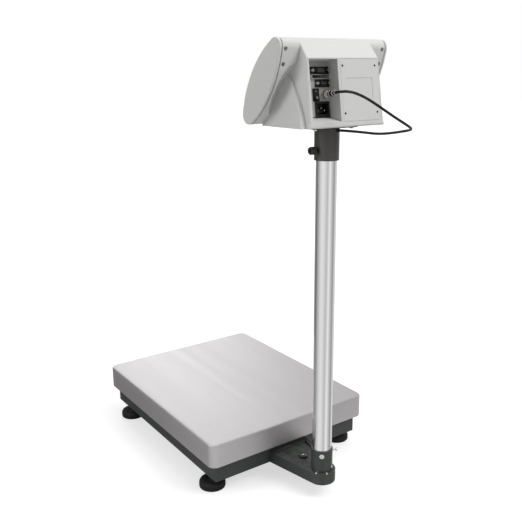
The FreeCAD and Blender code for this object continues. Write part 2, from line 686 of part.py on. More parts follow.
def cheeks(name):
    """The raised pads low on both sides of the rear box, each with a bowed rear edge."""
    outline = polygon(None, name + "_outline", "YZ_Plane", (
        ("low_round_y + 8", "head_bottom"), ("cheek_foot_y + 30", "head_bottom"),
        ("cheek_apex_y + 40", "cheek_apex_z + 40"), ("cheek_apex_y - 12", "cheek_apex_z - 12")))
    block = on_column(prism(name + "_block", outline, "head_width"))
    bow = cylinder(name + "_bow", ("-head_width / 2 - 1", "column_y + cheek_bow_y", "cheek_bow_z"),
                   "cheek_bow_radius", "head_width + 2", ALONG_X)
    sides = tapered(name + "_sides", "rear_low_half + cheek_low_step", "rear_top_half + cheek_top_step", "cheek_apex_z")
    return common(name, block, bow, sides)


def scoops(name, grow):
    """Hollows that narrow the head between its end plates and the rear box."""
    tools = []
    for sx in (1, -1):
        hollow = doc.addObject("Part::Ellipsoid", "%s_%d" % (name, sx + 1))
        bind(hollow, Radius1="scoop_along + " + grow, Radius2="scoop_across + " + grow, Radius3="scoop_depth + " + grow)
        middle = LEANING.multVec(Vector(sx * size("scoop_side"), size("scoop_out"), size("scoop_up")))
        hollow.Placement = Placement(Vector(0, size("column_y") + LOW.x, LOW.y) + middle, LEANING)
        tools.append(hollow)
    return tools


def head_solid(name, inset, ends):
    """The whole head as one block, drawn smaller by `inset` for its hollow."""
    lens = on_column(prism(name + "_lens", lens_sketch(name + "_outline", inset), ends))
    waisted = cut(name + "_waisted", lens, *scoops(name + "_scoop", inset))
    return waisted, head_box(name + "_box", inset)


def edge_middle(edge):
    """Middle of an edge, measured from the column axis."""
    return edge.valueAt((edge.FirstParameter + edge.LastParameter) / 2) - Vector(0, size("column_y"), 0)


def is_rear_box_edge(edge):
    straight = isinstance(edge.Curve, Part.Line)
    return straight and edge.Length > 30 and edge_middle(edge).y > size("rear_top_y") - 12


def is_ridge_edge(edge):
    middle = edge_middle(edge)
    return edge.Length > 60 and middle.y > 20 and abs(middle.x) > size("rear_low_half") + 1


def is_end_edge(edge):
    return edge.Length > 10 and abs(edge_middle(edge).x) > size("head_width") / 2 - 0.1


def rounded(name, base, radius, wanted):
    """A solid with the wanted edges rounded."""
    doc.recompute()
    soft = doc.addObject("Part::Fillet", name)
    soft.Base = base
    soft.Edges = [(i, size(radius), size(radius)) for i, edge in enumerate(base.Shape.Edges, start=1) if wanted(edge)]
    return soft


BOSS_X = 105
BOSS_PLACES = ((4, 848), (-4, 824))
BOSSES = [(sx * BOSS_X, y, z) for sx in (1, -1) for y, z in BOSS_PLACES]


def boss_cylinders(name, radius, start, length):
    return [cylinder("%s%d" % (name, i), (x, "column_y + %s" % (y + start), z), radius, length, ALONG_Y)
            for i, (x, y, z) in enumerate(BOSSES)]


def head_housings(plate_screws):
    """Front and rear shells cut from one hollow block along the plane through both rounds."""
    waisted, rear = head_solid("outer", "0", "head_width")
    sharp = fuse("outer_block", waisted, rear, cheeks("cheeks"))
    softer = rounded("outer_rear_rounded", sharp, "rear_edge_round", is_rear_box_edge)
    softer = rounded("outer_ridges_rounded", softer, "ridge_round", is_ridge_edge)
    outer = rounded("outer_ends_rounded", softer, "end_round", is_end_edge)
    hollow_waist, hollow_rear = head_solid("inner", "head_wall", "head_width - 2 * end_plate")
    hollow = fuse("inner_block", hollow_waist, hollow_rear)
    shell = cut("head_shell", outer, hollow)

    groove = "(head_width / 2 - end_plate - end_groove)"
    across, behind, under, tall = 300, 220, 60, 260         # cutting blocks, well beyond the head
    parting_gap = 0.2
    front_half = half_space("front_half", (-across / 2, -behind, -under), (across, behind, tall))
    end_slabs = [box("end_slab%d" % (sx + 1), ("%s" % ("head_width / 2 - end_plate" if sx > 0 else "-head_width / 2"),
                                               0, "head_bottom"), ("end_plate", 400, 160)) for sx in (1, -1)]
    lip_fit, lip_core_inset, lip_reach = 0.3, 2, 3          # lip inside the end plates that the rear shell slides over
    lip = on_column(prism("lip_outer", lens_sketch("lip_outer_outline", "head_wall + %s" % lip_fit),
                          "head_width - 2"))
    lip_core = on_column(prism("lip_inner", lens_sketch("lip_inner_outline", "head_wall + %s" % lip_core_inset),
                               "head_width"))
    lip_middle = slab("lip_middle", (0, across, "head_bottom"),
                      ("head_width - 2 * (end_plate + %s)" % lip_reach, 500, 200))
    ends = common("front_ends", shell, fuse("end_slabs", *end_slabs))
    lip_ring = cut("lip_ring", lip, lip_core, lip_middle)
    front_blank = fuse("front_blank", common("front_shell", shell, front_half), ends, lip_ring)
    panel_clearance, panel_rest = 0.4, 12
    recess = in_front_frame(curved_tile("panel_recess", 0, 0, "panel_width + %s" % panel_clearance,
                                        "panel_height + %s" % panel_clearance,
                                        "front_radius - panel_sheet - panel_gap", "front_radius + 5"))
    opening = in_front_frame(curved_tile("panel_opening", 0, 0, "panel_width - %s" % panel_rest,
                                         "panel_height - %s" % panel_rest, "front_radius - 20", "front_radius"))
    node("front_housing", cut("front_housing", front_blank, recess, opening))

    rear_half = half_space("rear_half", (-across / 2, parting_gap, -under), (across, behind, tall))
    middle = slab("rear_middle", (0, across, "head_bottom - 1"), ("2 * " + groove, 500, 200))
    bay = in_rear_frame(wedge("bay_walls", ("bay_left - bay_wall", "bay_left + bay_width + bay_wall",
                                            "bay_foot + bay_rise - bay_wall", "bay_top + bay_wall"),
                              ("bay_left - bay_wall", "bay_left + bay_width + bay_wall",
                               "bay_foot - bay_wall", "bay_top + bay_wall"), ("-bay_depth - 2", 0)))
    ledge_block = box("cover_ledge", ("cover_left - 1", "-cover_sheet - 2.5", "cover_top - cover_height - 2"),
                      ("cover_width + 3", 2.6, "cover_height + 4"))
    ledge = in_rear_frame(group("ledge", [ledge_block]))
    boss_radius, boss_start, boss_length, hole_radius, hole_start = 5.5, -14, 40, 3.4, -2
    bosses = boss_cylinders("boss", boss_radius, boss_start, boss_length)
    walls = common("inner_walls", fuse("wall_set", bay, ledge, *bosses), outer)
    middle_part = common("rear_shell", shell, rear_half, middle)
    inner_part = common("rear_walls", walls, rear_half, middle)
    blank = fuse("rear_blank", middle_part, inner_part)
    bay_hollow = in_rear_frame(wedge("bay_hollow", ("bay_left", "bay_left + bay_width", "bay_foot + bay_rise", "bay_top"),
                                     ("bay_left", "bay_left + bay_width", "bay_foot - 0.7", "bay_top"),
                                     ("-bay_depth - 3", 2)))
    seat = box("cover_seat", ("cover_left - 0.3", "-cover_sheet", "cover_top - cover_height - 0.3"),
               ("cover_width + 0.6", 6, "cover_height + 0.6"))
    way = box("cover_way", ("cover_left + 5", "-cover_sheet - 8", "cover_top - cover_height + 8"),
              ("cover_width - 14", 12, "cover_height - 16"))
    cover_room = in_rear_frame(fuse("cover_room", seat, way))
    holes = boss_cylinders("boss_hole", hole_radius, hole_start, boss_length)
    node("rear_housing", cut("rear_housing", blank, bay_hollow, cover_room, plate_screws, cover_screws(),
                             housing_screws(), *holes))


def curved_tile(name, x, z, width, height, inside, outside):
    """A patch of curved sheet between two radii, drawn about the front arc's centre."""
    skin = cut(name + "_skin", cylinder(name + "_out", (-120, 0, 0), outside, 240, ALONG_X),
               cylinder(name + "_in", (-121, 0, 0), inside, 242, ALONG_X))
    window = box(name + "_patch", ("%s - (%s) / 2" % (x, width), "-front_radius - 20", "%s - (%s) / 2" % (z, height)),
                 (width, 60, height))
    return common(name, skin, window)


def cover_screws():
    screws = [screw("cover_screw%d%d" % (i, j), (x, "-1", z), ALONG_Y, 1.9, 1, 1.2, 6)
              for i, x in enumerate(("cover_left + 8", "cover_left + cover_width - 4.5"))
              for j, z in enumerate(("cover_top - 11", "cover_top - cover_height + 13"))]
    return node("access_cover_screws", in_rear_frame(group("access_cover_screws", screws)))


def housing_screws():
    screws = [screw("housing_screw%d" % i, (x, "column_y + %s" % (y - 2), z), ALONG_Y, 3, 2.2, 1.4, 9, 1.2)
              for i, (x, y, z) in enumerate(BOSSES)]
    return node("housing_screws", group("housing_screws", screws))


def front_panel():
    sheet_in, sheet_out = "front_radius - panel_sheet", "front_radius"
    blank = curved_tile("panel_blank", 0, 0, "panel_width", "panel_height", sheet_in, sheet_out)
    window = curved_tile("window_hole", 0, "window_rise", "window_width", "window_height", "front_radius - 9",
                         "front_radius + 9")
    holes = [curved_tile("key_hole%d" % i, "%d * key_pitch" % (i - 2), "key_drop", "key_width + 0.6", "key_height + 0.6",
                         "front_radius - 9", "front_radius + 9") for i in range(5)]
    node("front_panel", in_front_frame(cut("front_panel", blank, window, *holes)))
    glass = curved_tile("window_glass", 0, "window_rise", "window_width", "window_height",
                        "front_radius - 1.8", "front_radius - 0.3")
    node("display_window", in_front_frame(glass))
    for i in range(5):
        key = curved_tile("key_cap%d" % i, "%d * key_pitch" % (i - 2), "key_drop", "key_width", "key_height",
                          "front_radius - 3", "front_radius + key_proud")
        node("key_%d" % (i + 1), in_front_frame(key))


def head_electronics():
    board_width, board_height, board_sheet, board_depth = 188, 96, 1.6, 15
    board = box("board", (-board_width / 2, "-front_radius + %s" % board_depth, -board_height / 2),
                (board_width, board_sheet, board_height))
    node("main_board", in_front_frame(group("main_board", [board])))
    display = box("display", ("-window_width / 2 + 2", "-front_radius + 8.6", 12), ("window_width - 4", 6.4, 34))
    node("display_module", in_front_frame(group("display_module", [display])))
    battery_corner, battery_lengths = (-68.5, -56, -100), (70, 47, 92)
    cell = box("battery_block", battery_corner, battery_lengths)
    node("battery", in_rear_frame(group("battery", [cell])))


# places on the connector plate: across, up
WIDE_PLUG = (34.5, -17.2)
SMALL_PLUG = (30, -37.9)
SWITCH = (45, -56.5)
ROUND_SOCKET = (28, -56.5)
MAINS = (33.5, -80)
# radius, start and length of the plug's nut, grip and strain relief
PLUG_STAGES = ((6.6, 2, 11), (5.6, 13, 9), (4.6, 22, 5), (3.4, 27, 6))


def plate_block(name, centre, width, height, inside, outside):
    """A block centred on a place of the connector plate, between two depths behind the rear face."""
    return box(name, ("%s - %s / 2" % (centre[0], width), inside, "%s - %s / 2" % (centre[1], height)),
               (width, "(%s) - (%s)" % (outside, inside), height))


PORT = {"height": 12.5, "flange": 1, "shell_height": 8.4, "shell_reach": 6.5, "wall": 0.6, "post_radius": 2.6,
        "post_reach": 6, "skirt_height": 7.5, "skirt_reach": 4.5}


def data_connector(name, centre, width, pitch, skirt=False):
    """A shielded connector: flange, shell with an open throat, and a jack post at each end."""
    face = "-bay_depth"
    shell_width = pitch - 8
    flange = plate_block(name + "_flange", centre, width, PORT["height"], face, "%s + %s" % (face, PORT["flange"]))
    shell = plate_block(name + "_shell", centre, shell_width, PORT["shell_height"], face,
                        "%s + %s" % (face, PORT["shell_reach"]))
    throat = plate_block(name + "_throat", centre, shell_width - 2 * PORT["wall"],
                         PORT["shell_height"] - 2 * PORT["wall"], face + " + 3", face + " + 8")
    posts = [cylinder("%s_post%d" % (name, sx + 1), (centre[0] + sx * pitch / 2, face, centre[1]),
                      PORT["post_radius"], PORT["post_reach"], ALONG_Y) for sx in (1, -1)]
    pieces = [flange, shell] + posts
    if skirt:
        below = (centre[0], centre[1] - (PORT["height"] + PORT["skirt_height"]) / 2)
        pieces.append(plate_block(name + "_skirt", below, width, PORT["skirt_height"], face,
                                  "%s + %s" % (face, PORT["skirt_reach"])))
    node(name, in_rear_frame(cut(name, fuse(name + "_blank", *pieces), throat)))


def connector_bay():
    deep, face = "-bay_depth - 2", "-bay_depth"
    plate = box("plate_sheet_metal", ("bay_left", deep, "bay_foot + bay_rise + 1"),
                ("bay_width", 2, "-bay_foot + bay_top - bay_rise - 1"))
    switch_hole = plate_block("switch_hole", SWITCH, 10.6, 19.4, "-bay_depth - 12", "-bay_depth + 4")
    mains_hole = plate_block("mains_hole", MAINS, 27, 20, "-bay_depth - 12", "-bay_depth + 4")
    socket_hole = cylinder("socket_hole", (ROUND_SOCKET[0], "-bay_depth - 12", ROUND_SOCKET[1]), 4.5, 16, ALONG_Y)
    node("connector_plate", in_rear_frame(cut("connector_plate", plate, switch_hole, mains_hole, socket_hole)))
    data_connector("connector_15_way", WIDE_PLUG, 39.2, 33.3, skirt=True)
    data_connector("connector_9_way", SMALL_PLUG, 30.8, 25)

    inner = plate_block("mains_inner", MAINS, 27, 20, "-bay_depth - 18", face)
    flange = plate_block("mains_flange", MAINS, 30, 25, face, "-bay_depth + 2")
    cavity = plate_block("mains_cavity", MAINS, 24, 17, "-bay_depth - 14", "-bay_depth + 5")
    blades = [box("mains_blade%d" % i, (MAINS[0] + x - 1, "-bay_depth - 14", MAINS[1] + z - 2), (2, 12, 4))
              for i, (x, z) in enumerate(((-7, -2), (7, -2), (0, 2)))]
    node("mains_inlet", in_rear_frame(fuse("mains_inlet", cut("mains_body", fuse("mains_blank", inner, flange), cavity),
                                           *blades)))
    frame = plate_block("switch_frame", SWITCH, 13, 21, face, "-bay_depth + 1.5")
    through = plate_block("switch_through", SWITCH, 10.6, 19.4, "-bay_depth - 2", "-bay_depth + 4")
    node("switch_bezel", in_rear_frame(cut("switch_bezel", frame, through)))

    barrel = cylinder("socket_barrel", (ROUND_SOCKET[0], "-bay_depth - 10", ROUND_SOCKET[1]), 4.5, 14, ALONG_Y)
    nut = hexagon("socket_nut", (ROUND_SOCKET[0], face, ROUND_SOCKET[1]), 6.5, 2, ALONG_Y)
    node("load_cell_socket", in_rear_frame(fuse("load_cell_socket", barrel, nut)))
    rings = [cylinder("plug_stage%d" % i, (ROUND_SOCKET[0], "-bay_depth + %s" % start, ROUND_SOCKET[1]), radius, length,
                      ALONG_Y) for i, (radius, start, length) in enumerate(PLUG_STAGES)]
    bore = cylinder("plug_bore", (ROUND_SOCKET[0], face, ROUND_SOCKET[1]), 4.5, 4, ALONG_Y)
    node("cable_plug", in_rear_frame(cut("cable_plug", fuse("plug_blank", *rings), bore)))


def power_rocker():
    """A rocker that tips on a pin through its own middle; it rests with its upper half pushed in."""
    width, depth, height = 10, 7, 16.4
    block = doc.addObject("Part::Box", "rocker_block")
    block.Length, block.Width, block.Height = width, depth, height
    tip = Rotation(Vector(1, 0, 0), 10)
    pivot = Vector(SWITCH[0], -size("bay_depth") - 1, SWITCH[1])
    block.Placement = Placement(tip.multVec(Vector(-width / 2, -depth / 2, -height / 2)) + pivot, tip)
    pin = cylinder("rocker_pin", (SWITCH[0] - 5.2, "-bay_depth - 1", SWITCH[1]), 1.2, 10.4, ALONG_X)
    node("power_rocker", in_rear_frame(fuse("power_rocker", block, pin)))


def access_cover(screws):
    lid = box("cover_lid", ("cover_left", "-cover_sheet", "cover_top - cover_height"),
              ("cover_width", "cover_sheet", "cover_height"))
    label = box("cover_label", ("cover_left + 16", -0.5, "cover_top - 66"), (57, 2, 35))
    blank = in_rear_frame(cut("cover_blank", lid, label))
    node("access_cover", cut("access_cover", blank, screws))


# ---------------------------------------------------------------- cable
def rear_point(x, out, up):
    """A point of the rear face's frame in the scale's own frame."""
    turned = REAR_TURN.multVec(Vector(x, out, up))
    return turned + Vector(0, size("column_y") + size("rear_top_y"), size("rear_top_z"))


def cable_route():
    """Route from the plug, out behind the head, round one bend and back to the sleeve."""
    start = rear_point(ROUND_SOCKET[0], 33 - size("bay_depth"), ROUND_SOCKET[1])
    ahead = rear_point(ROUND_SOCKET[0], 33 - size("bay_depth") + 26, ROUND_SOCKET[1])
    column = Vector(0, size("column_y"), 0)
    free = [Vector(*point) + column for point in CABLE_BENDS]
    out = Vector(math.cos(CABLE_EXIT), math.sin(CABLE_EXIT), 0)
    exit_height = number(CABLE_ORIGIN_Z)
    finish = column + out * (size("sleeve_radius") + 1) + Vector(0, 0, exit_height)
    before = column + out * (size("sleeve_radius") + 24) + Vector(0, 0, exit_height)
    return [start, ahead] + free + [before, finish]


# bends of the cable, from the column axis and the floor
CABLE_BENDS = ((15, 106, 774), (-6, 122, 757), (-31, 131, 740), (-58, 134, 726), (-80, 124, 718),
               (-90, 102, 714), (-81, 80, 709.5), (-57, 68, 708), (-33, 60, 711.5))


def signal_cable():
    points = cable_route()
    radius = size("cable_radius")
    edges = []
    here = points[0]
    length = 0
    for i in range(1, len(points) - 1):
        before, corner, after = points[i - 1], points[i], points[i + 1]
        way_in, way_out = corner - before, after - corner
        turn = way_in.getAngle(way_out)
        bend = 0.45 * min(way_in.Length, way_out.Length) / math.tan(turn / 2)
        back = bend * math.tan(turn / 2)
        way_in.normalize()
        way_out.normalize()
        begin, end = corner - way_in * back, corner + way_out * back
        inward = (way_out - way_in).normalize()
        middle = corner + inward * (bend / math.cos(turn / 2) - bend)
        edges.append(Part.LineSegment(here, begin).toShape())
        edges.append(Part.Arc(begin, middle, end).toShape())
        length += (begin - here).Length + bend * turn
        here = end
        print("cable bend %d: radius %.1f mm, turn %.0f degrees, runs %.0f and %.0f mm"
              % (i, bend, math.degrees(turn), (corner - before).Length, (after - corner).Length))
    edges.append(Part.LineSegment(here, points[-1]).toShape())
    length += (points[-1] - here).Length
    path = Part.Wire(edges)
    section = Part.Wire([Part.Circle(points[0], points[1] - points[0], radius).toShape()])
    tube_shape = path.makePipeShell([section], True, True)
    expected = math.pi * radius ** 2 * length
    print("cable length %.0f mm, volume %.1f mm3, section times length %.1f mm3" % (length, tube_shape.Volume, expected))
    if abs(tube_shape.Volume - expected) > 0.01 * expected:
        raise ValueError("the cable's tube has the wrong volume")
    cable = doc.addObject("Part::Feature", "signal_cable")
    cable.Shape = tube_shape
    node("signal_cable", cable)


# ---------------------------------------------------------------- assembly
def build():
    upper_bolts, rail_bolts = base_frame()
    spider(upper_bolts)
    platter()
    lock_nuts = [levelling_foot(*corner) for corner in FOOT_CORNERS]
    node("lock_nuts", group("lock_nuts", lock_nuts))
    pole_bracket(socket_screws(), bracket_screws(), rail_bolts)
    bubble_level()
    column()
    neck_sleeve()
    clamp_knob()
    plate_screws = mounting_plate()
    head_housings(plate_screws)
    access_cover(nodes["access_cover_screws"])
    front_panel()
    head_electronics()
    connector_bay()
    power_rocker()
    signal_cable()
    doc.recompute()


def check_and_write():
    for thing in doc.Objects:
        if "Invalid" in thing.State or "Error" in thing.State:
            raise ValueError("%s did not compute: %s" % (thing.Name, thing.State))
    for name, thing in nodes.items():
        if thing.Shape.isNull() or not thing.Shape.isValid() or thing.Shape.Volume <= 0:
            raise ValueError("%s has no sound shape" % name)
    os.makedirs("parts", exist_ok=True)
    for name, thing in nodes.items():
        thing.Shape.exportStep("parts/%s.step" % name)
    print("%d nodes written" % len(nodes))


build()
check_and_write()
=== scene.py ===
import json
import math

import bmesh
import bpy
from mathutils import Matrix, Vector


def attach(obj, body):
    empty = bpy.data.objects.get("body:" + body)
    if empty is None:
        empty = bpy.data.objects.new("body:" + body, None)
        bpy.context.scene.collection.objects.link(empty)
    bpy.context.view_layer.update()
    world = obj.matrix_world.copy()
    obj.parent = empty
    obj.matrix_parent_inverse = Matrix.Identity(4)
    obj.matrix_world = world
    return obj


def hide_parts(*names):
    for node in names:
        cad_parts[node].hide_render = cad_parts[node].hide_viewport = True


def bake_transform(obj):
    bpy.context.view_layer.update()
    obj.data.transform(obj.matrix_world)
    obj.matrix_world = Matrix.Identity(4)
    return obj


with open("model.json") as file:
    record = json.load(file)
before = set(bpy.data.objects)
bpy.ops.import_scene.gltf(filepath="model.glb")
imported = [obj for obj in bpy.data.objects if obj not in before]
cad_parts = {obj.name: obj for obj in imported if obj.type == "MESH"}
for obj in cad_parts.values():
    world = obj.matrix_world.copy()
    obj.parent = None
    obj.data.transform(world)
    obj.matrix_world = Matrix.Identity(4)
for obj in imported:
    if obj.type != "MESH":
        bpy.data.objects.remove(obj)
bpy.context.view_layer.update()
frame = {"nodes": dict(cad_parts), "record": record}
mm = 0.001
quarter = math.radians(90)
slotOf = {part["node"]: part["material_slot"] for part in frame["record"]["subparts"]}
print("frame loaded:", len(frame["nodes"]), "nodes")


# camera: stands behind the scale on its +X side, and looks a little down
cameraPlace = {"spot": (804.2, 1212.7, 814.35), "bearing": -124.8, "pitch": 15.12, "roll": -0.49,
               "lens": 48.6, "sensor": 36, "nearest": 0.05}


def aimCamera():
    bearing, pitch, roll = (math.radians(cameraPlace[key]) for key in ("bearing", "pitch", "roll"))
    level = Vector((math.cos(bearing), math.sin(bearing), 0))
    ahead = level * math.cos(pitch) - Vector((0, 0, math.sin(pitch)))
    right = ahead.cross(Vector((0, 0, 1))).normalized()
    upward = right.cross(ahead)
    tiltedRight = right * math.cos(roll) + upward * math.sin(roll)
    tiltedUp = upward * math.cos(roll) - right * math.sin(roll)
    camera = bpy.data.objects.new("camera", bpy.data.cameras.new("camera"))
    turn = Matrix((tiltedRight, tiltedUp, -ahead)).transposed().to_4x4()
    camera.matrix_world = Matrix.Translation(Vector(cameraPlace["spot"]) * mm) @ turn
    camera.data.lens = cameraPlace["lens"]
    camera.data.sensor_width = cameraPlace["sensor"]
    camera.data.clip_start = cameraPlace["nearest"]
    bpy.context.scene.collection.objects.link(camera)
    bpy.context.scene.camera = camera


aimCamera()


# ---- node helpers
def addNode(tree, kind, inputs=None, **settings):
    node = tree.nodes.new("ShaderNode" + kind)
    for key, value in settings.items():
        setattr(node, key, value)
    for key, value in (inputs or {}).items():
        node.inputs[key].default_value = value
    return node


def grain(group, given, detail, roughness):
    place = addNode(group, "TexCoord")
    stretch = addNode(group, "Mapping")
    noise = addNode(group, "TexNoise", {"Detail": detail, "Roughness": roughness})
    group.links.new(place.outputs["Object"], stretch.inputs["Vector"])
    group.links.new(given.outputs["Stretch"], stretch.inputs["Scale"])
    group.links.new(stretch.outputs[0], noise.inputs["Vector"])
    group.links.new(given.outputs["Scale"], noise.inputs["Scale"])
    return noise


def patches(group, **settings):
    place = addNode(group, "TexCoord")
    noise = addNode(group, "TexNoise", settings)
    group.links.new(place.outputs["Object"], noise.inputs["Vector"])
    return noise


def newGroup(name, inputs, outputs):
    group = bpy.data.node_groups.new(name, "ShaderNodeTree")
    for label, kind, value in inputs:
        socket = group.interface.new_socket(name=label, in_out="INPUT", socket_type="NodeSocket" + kind)
        socket.default_value = value
    for label, kind in outputs:
        group.interface.new_socket(name=label, in_out="OUTPUT", socket_type="NodeSocket" + kind)
    return group, group.nodes.new("NodeGroupInput"), group.nodes.new("NodeGroupOutput")


def mixColors(group, amount, given, overColor, made):
    mixed = addNode(group, "Mix", data_type="RGBA")
    group.links.new(amount.outputs[0], mixed.inputs["Factor"])
    group.links.new(given.outputs["Color"], mixed.inputs[6])
    group.links.new(given.outputs[overColor], mixed.inputs[7])
    group.links.new(mixed.outputs[2], made.inputs["Color"])
    group.links.new(amount.outputs[0], made.inputs["Mask"])


def makeMottle():
    group, given, made = newGroup(
        "mottledTone",
        [("Color", "Color", (0.8, 0.8, 0.8, 1)), ("Scale", "Float", 200), ("Contrast", "Float", 0.1),
         ("Stretch", "Vector", (1, 1, 1))],
        [("Color", "Color"), ("Value", "Float")])
    link = group.links.new
    fine = grain(group, given, 4, 0.6)
    broad = patches(group, Scale=9, Detail=2)
    fineShare = addNode(group, "Math", {1: 0.65}, operation="MULTIPLY")
    broadShare = addNode(group, "Math", {1: 0.35}, operation="MULTIPLY")
    total = addNode(group, "Math", operation="ADD")
    centred = addNode(group, "Math", {1: 0.5}, operation="SUBTRACT")
    strength = addNode(group, "Math", operation="MULTIPLY")
    factor = addNode(group, "Math", {1: 1}, operation="ADD")
    toned = addNode(group, "VectorMath", operation="SCALE")
    link(fine.outputs["Fac"], fineShare.inputs[0])
    link(broad.outputs["Fac"], broadShare.inputs[0])
    link(fineShare.outputs[0], total.inputs[0])
    link(broadShare.outputs[0], total.inputs[1])
    link(total.outputs[0], centred.inputs[0])
    link(centred.outputs[0], strength.inputs[0])
    link(given.outputs["Contrast"], strength.inputs[1])
    link(strength.outputs[0], factor.inputs[0])
    link(given.outputs["Color"], toned.inputs[0])
    link(factor.outputs[0], toned.inputs["Scale"])
    link(toned.outputs[0], made.inputs["Color"])
    link(total.outputs[0], made.inputs["Value"])
    return group


def makeEdgeWear():
    group, given, made = newGroup(
        "edgeWear",
        [("Color", "Color", (0.5, 0.5, 0.5, 1)), ("Worn Color", "Color", (0.8, 0.8, 0.8, 1)),
         ("Width", "Float", 0.0008), ("Amount", "Float", 0.5)],
        [("Color", "Color"), ("Mask", "Float")])
    link = group.links.new
    geometry = addNode(group, "NewGeometry")
    rounded = addNode(group, "Bevel", samples=3)
    likeness = addNode(group, "VectorMath", operation="DOT_PRODUCT")
    turned = addNode(group, "MapRange", {"From Min": 0.995, "From Max": 0.9, "To Min": 0, "To Max": 1})
    rubbed = patches(group, Scale=140, Detail=5, Roughness=0.7)
    broken = addNode(group, "MapRange", {"From Min": 0.4, "From Max": 0.62})
    worn = addNode(group, "Math", operation="MULTIPLY")
    amount = addNode(group, "Math", operation="MULTIPLY", use_clamp=True)
    link(given.outputs["Width"], rounded.inputs["Radius"])
    link(rounded.outputs[0], likeness.inputs[0])
    link(geometry.outputs["Normal"], likeness.inputs[1])
    link(likeness.outputs["Value"], turned.inputs["Value"])
    link(rubbed.outputs["Fac"], broken.inputs["Value"])
    link(turned.outputs[0], worn.inputs[0])
    link(broken.outputs[0], worn.inputs[1])
    link(worn.outputs[0], amount.inputs[0])
    link(given.outputs["Amount"], amount.inputs[1])
    mixColors(group, amount, given, "Worn Color", made)
    return group


def makeDust():
    group, given, made = newGroup(
        "settledDust",
        [("Color", "Color", (0.5, 0.5, 0.5, 1)), ("Dust Color", "Color", (0.6, 0.58, 0.54, 1)),
         ("Amount", "Float", 0.1)],
        [("Color", "Color"), ("Mask", "Float")])
    link = group.links.new
    geometry = addNode(group, "NewGeometry")
    parts = addNode(group, "SeparateXYZ")
    upward = addNode(group, "MapRange", {"From Min": 0.2, "From Max": 0.95})
    specks = patches(group, Scale=55, Detail=6, Roughness=0.65)
    spread = addNode(group, "MapRange", {"From Min": 0.35, "From Max": 0.75})
    mask = addNode(group, "Math", operation="MULTIPLY")
    amount = addNode(group, "Math", operation="MULTIPLY", use_clamp=True)
    link(geometry.outputs["Normal"], parts.inputs[0])
    link(parts.outputs["Z"], upward.inputs["Value"])
    link(specks.outputs["Fac"], spread.inputs["Value"])
    link(upward.outputs[0], mask.inputs[0])
    link(spread.outputs[0], mask.inputs[1])
    link(mask.outputs[0], amount.inputs[0])
    link(given.outputs["Amount"], amount.inputs[1])
    mixColors(group, amount, given, "Dust Color", made)
    return group


def makeRoughSpread():
    group, given, made = newGroup(
        "roughSpread",
        [("Low", "Float", 0.3), ("High", "Float", 0.5), ("Scale", "Float", 25),
         ("Stretch", "Vector", (1, 1, 1))],
        [("Roughness", "Float")])
    link = group.links.new
    cloud = grain(group, given, 5, 0.62)
    spread = addNode(group, "MapRange", {"From Min": 0.3, "From Max": 0.7})
    link(cloud.outputs["Fac"], spread.inputs["Value"])
    link(given.outputs["Low"], spread.inputs["To Min"])
    link(given.outputs["High"], spread.inputs["To Max"])
    link(spread.outputs[0], made.inputs["Roughness"])
    return group


def makeRelief():
    group, given, made = newGroup(
        "surfaceRelief",
        [("Scale", "Float", 1500), ("Depth", "Float", 0.00003), ("Strength", "Float", 0.4),
         ("Edge Radius", "Float", 0.0005), ("Stretch", "Vector", (1, 1, 1))],
        [("Normal", "Vector")])
    link = group.links.new
    grains = grain(group, given, 3, 0.55)
    rounded = addNode(group, "Bevel", samples=3)
    bump = addNode(group, "Bump")
    link(grains.outputs["Fac"], bump.inputs["Height"])
    link(given.outputs["Depth"], bump.inputs["Distance"])
    link(given.outputs["Strength"], bump.inputs["Strength"])
    link(given.outputs["Edge Radius"], rounded.inputs["Radius"])
    link(rounded.outputs[0], bump.inputs["Normal"])
    link(bump.outputs[0], made.inputs["Normal"])
    return group


mottle = makeMottle()
edgeWear = makeEdgeWear()
dust = makeDust()
roughSpread = makeRoughSpread()
relief = makeRelief()

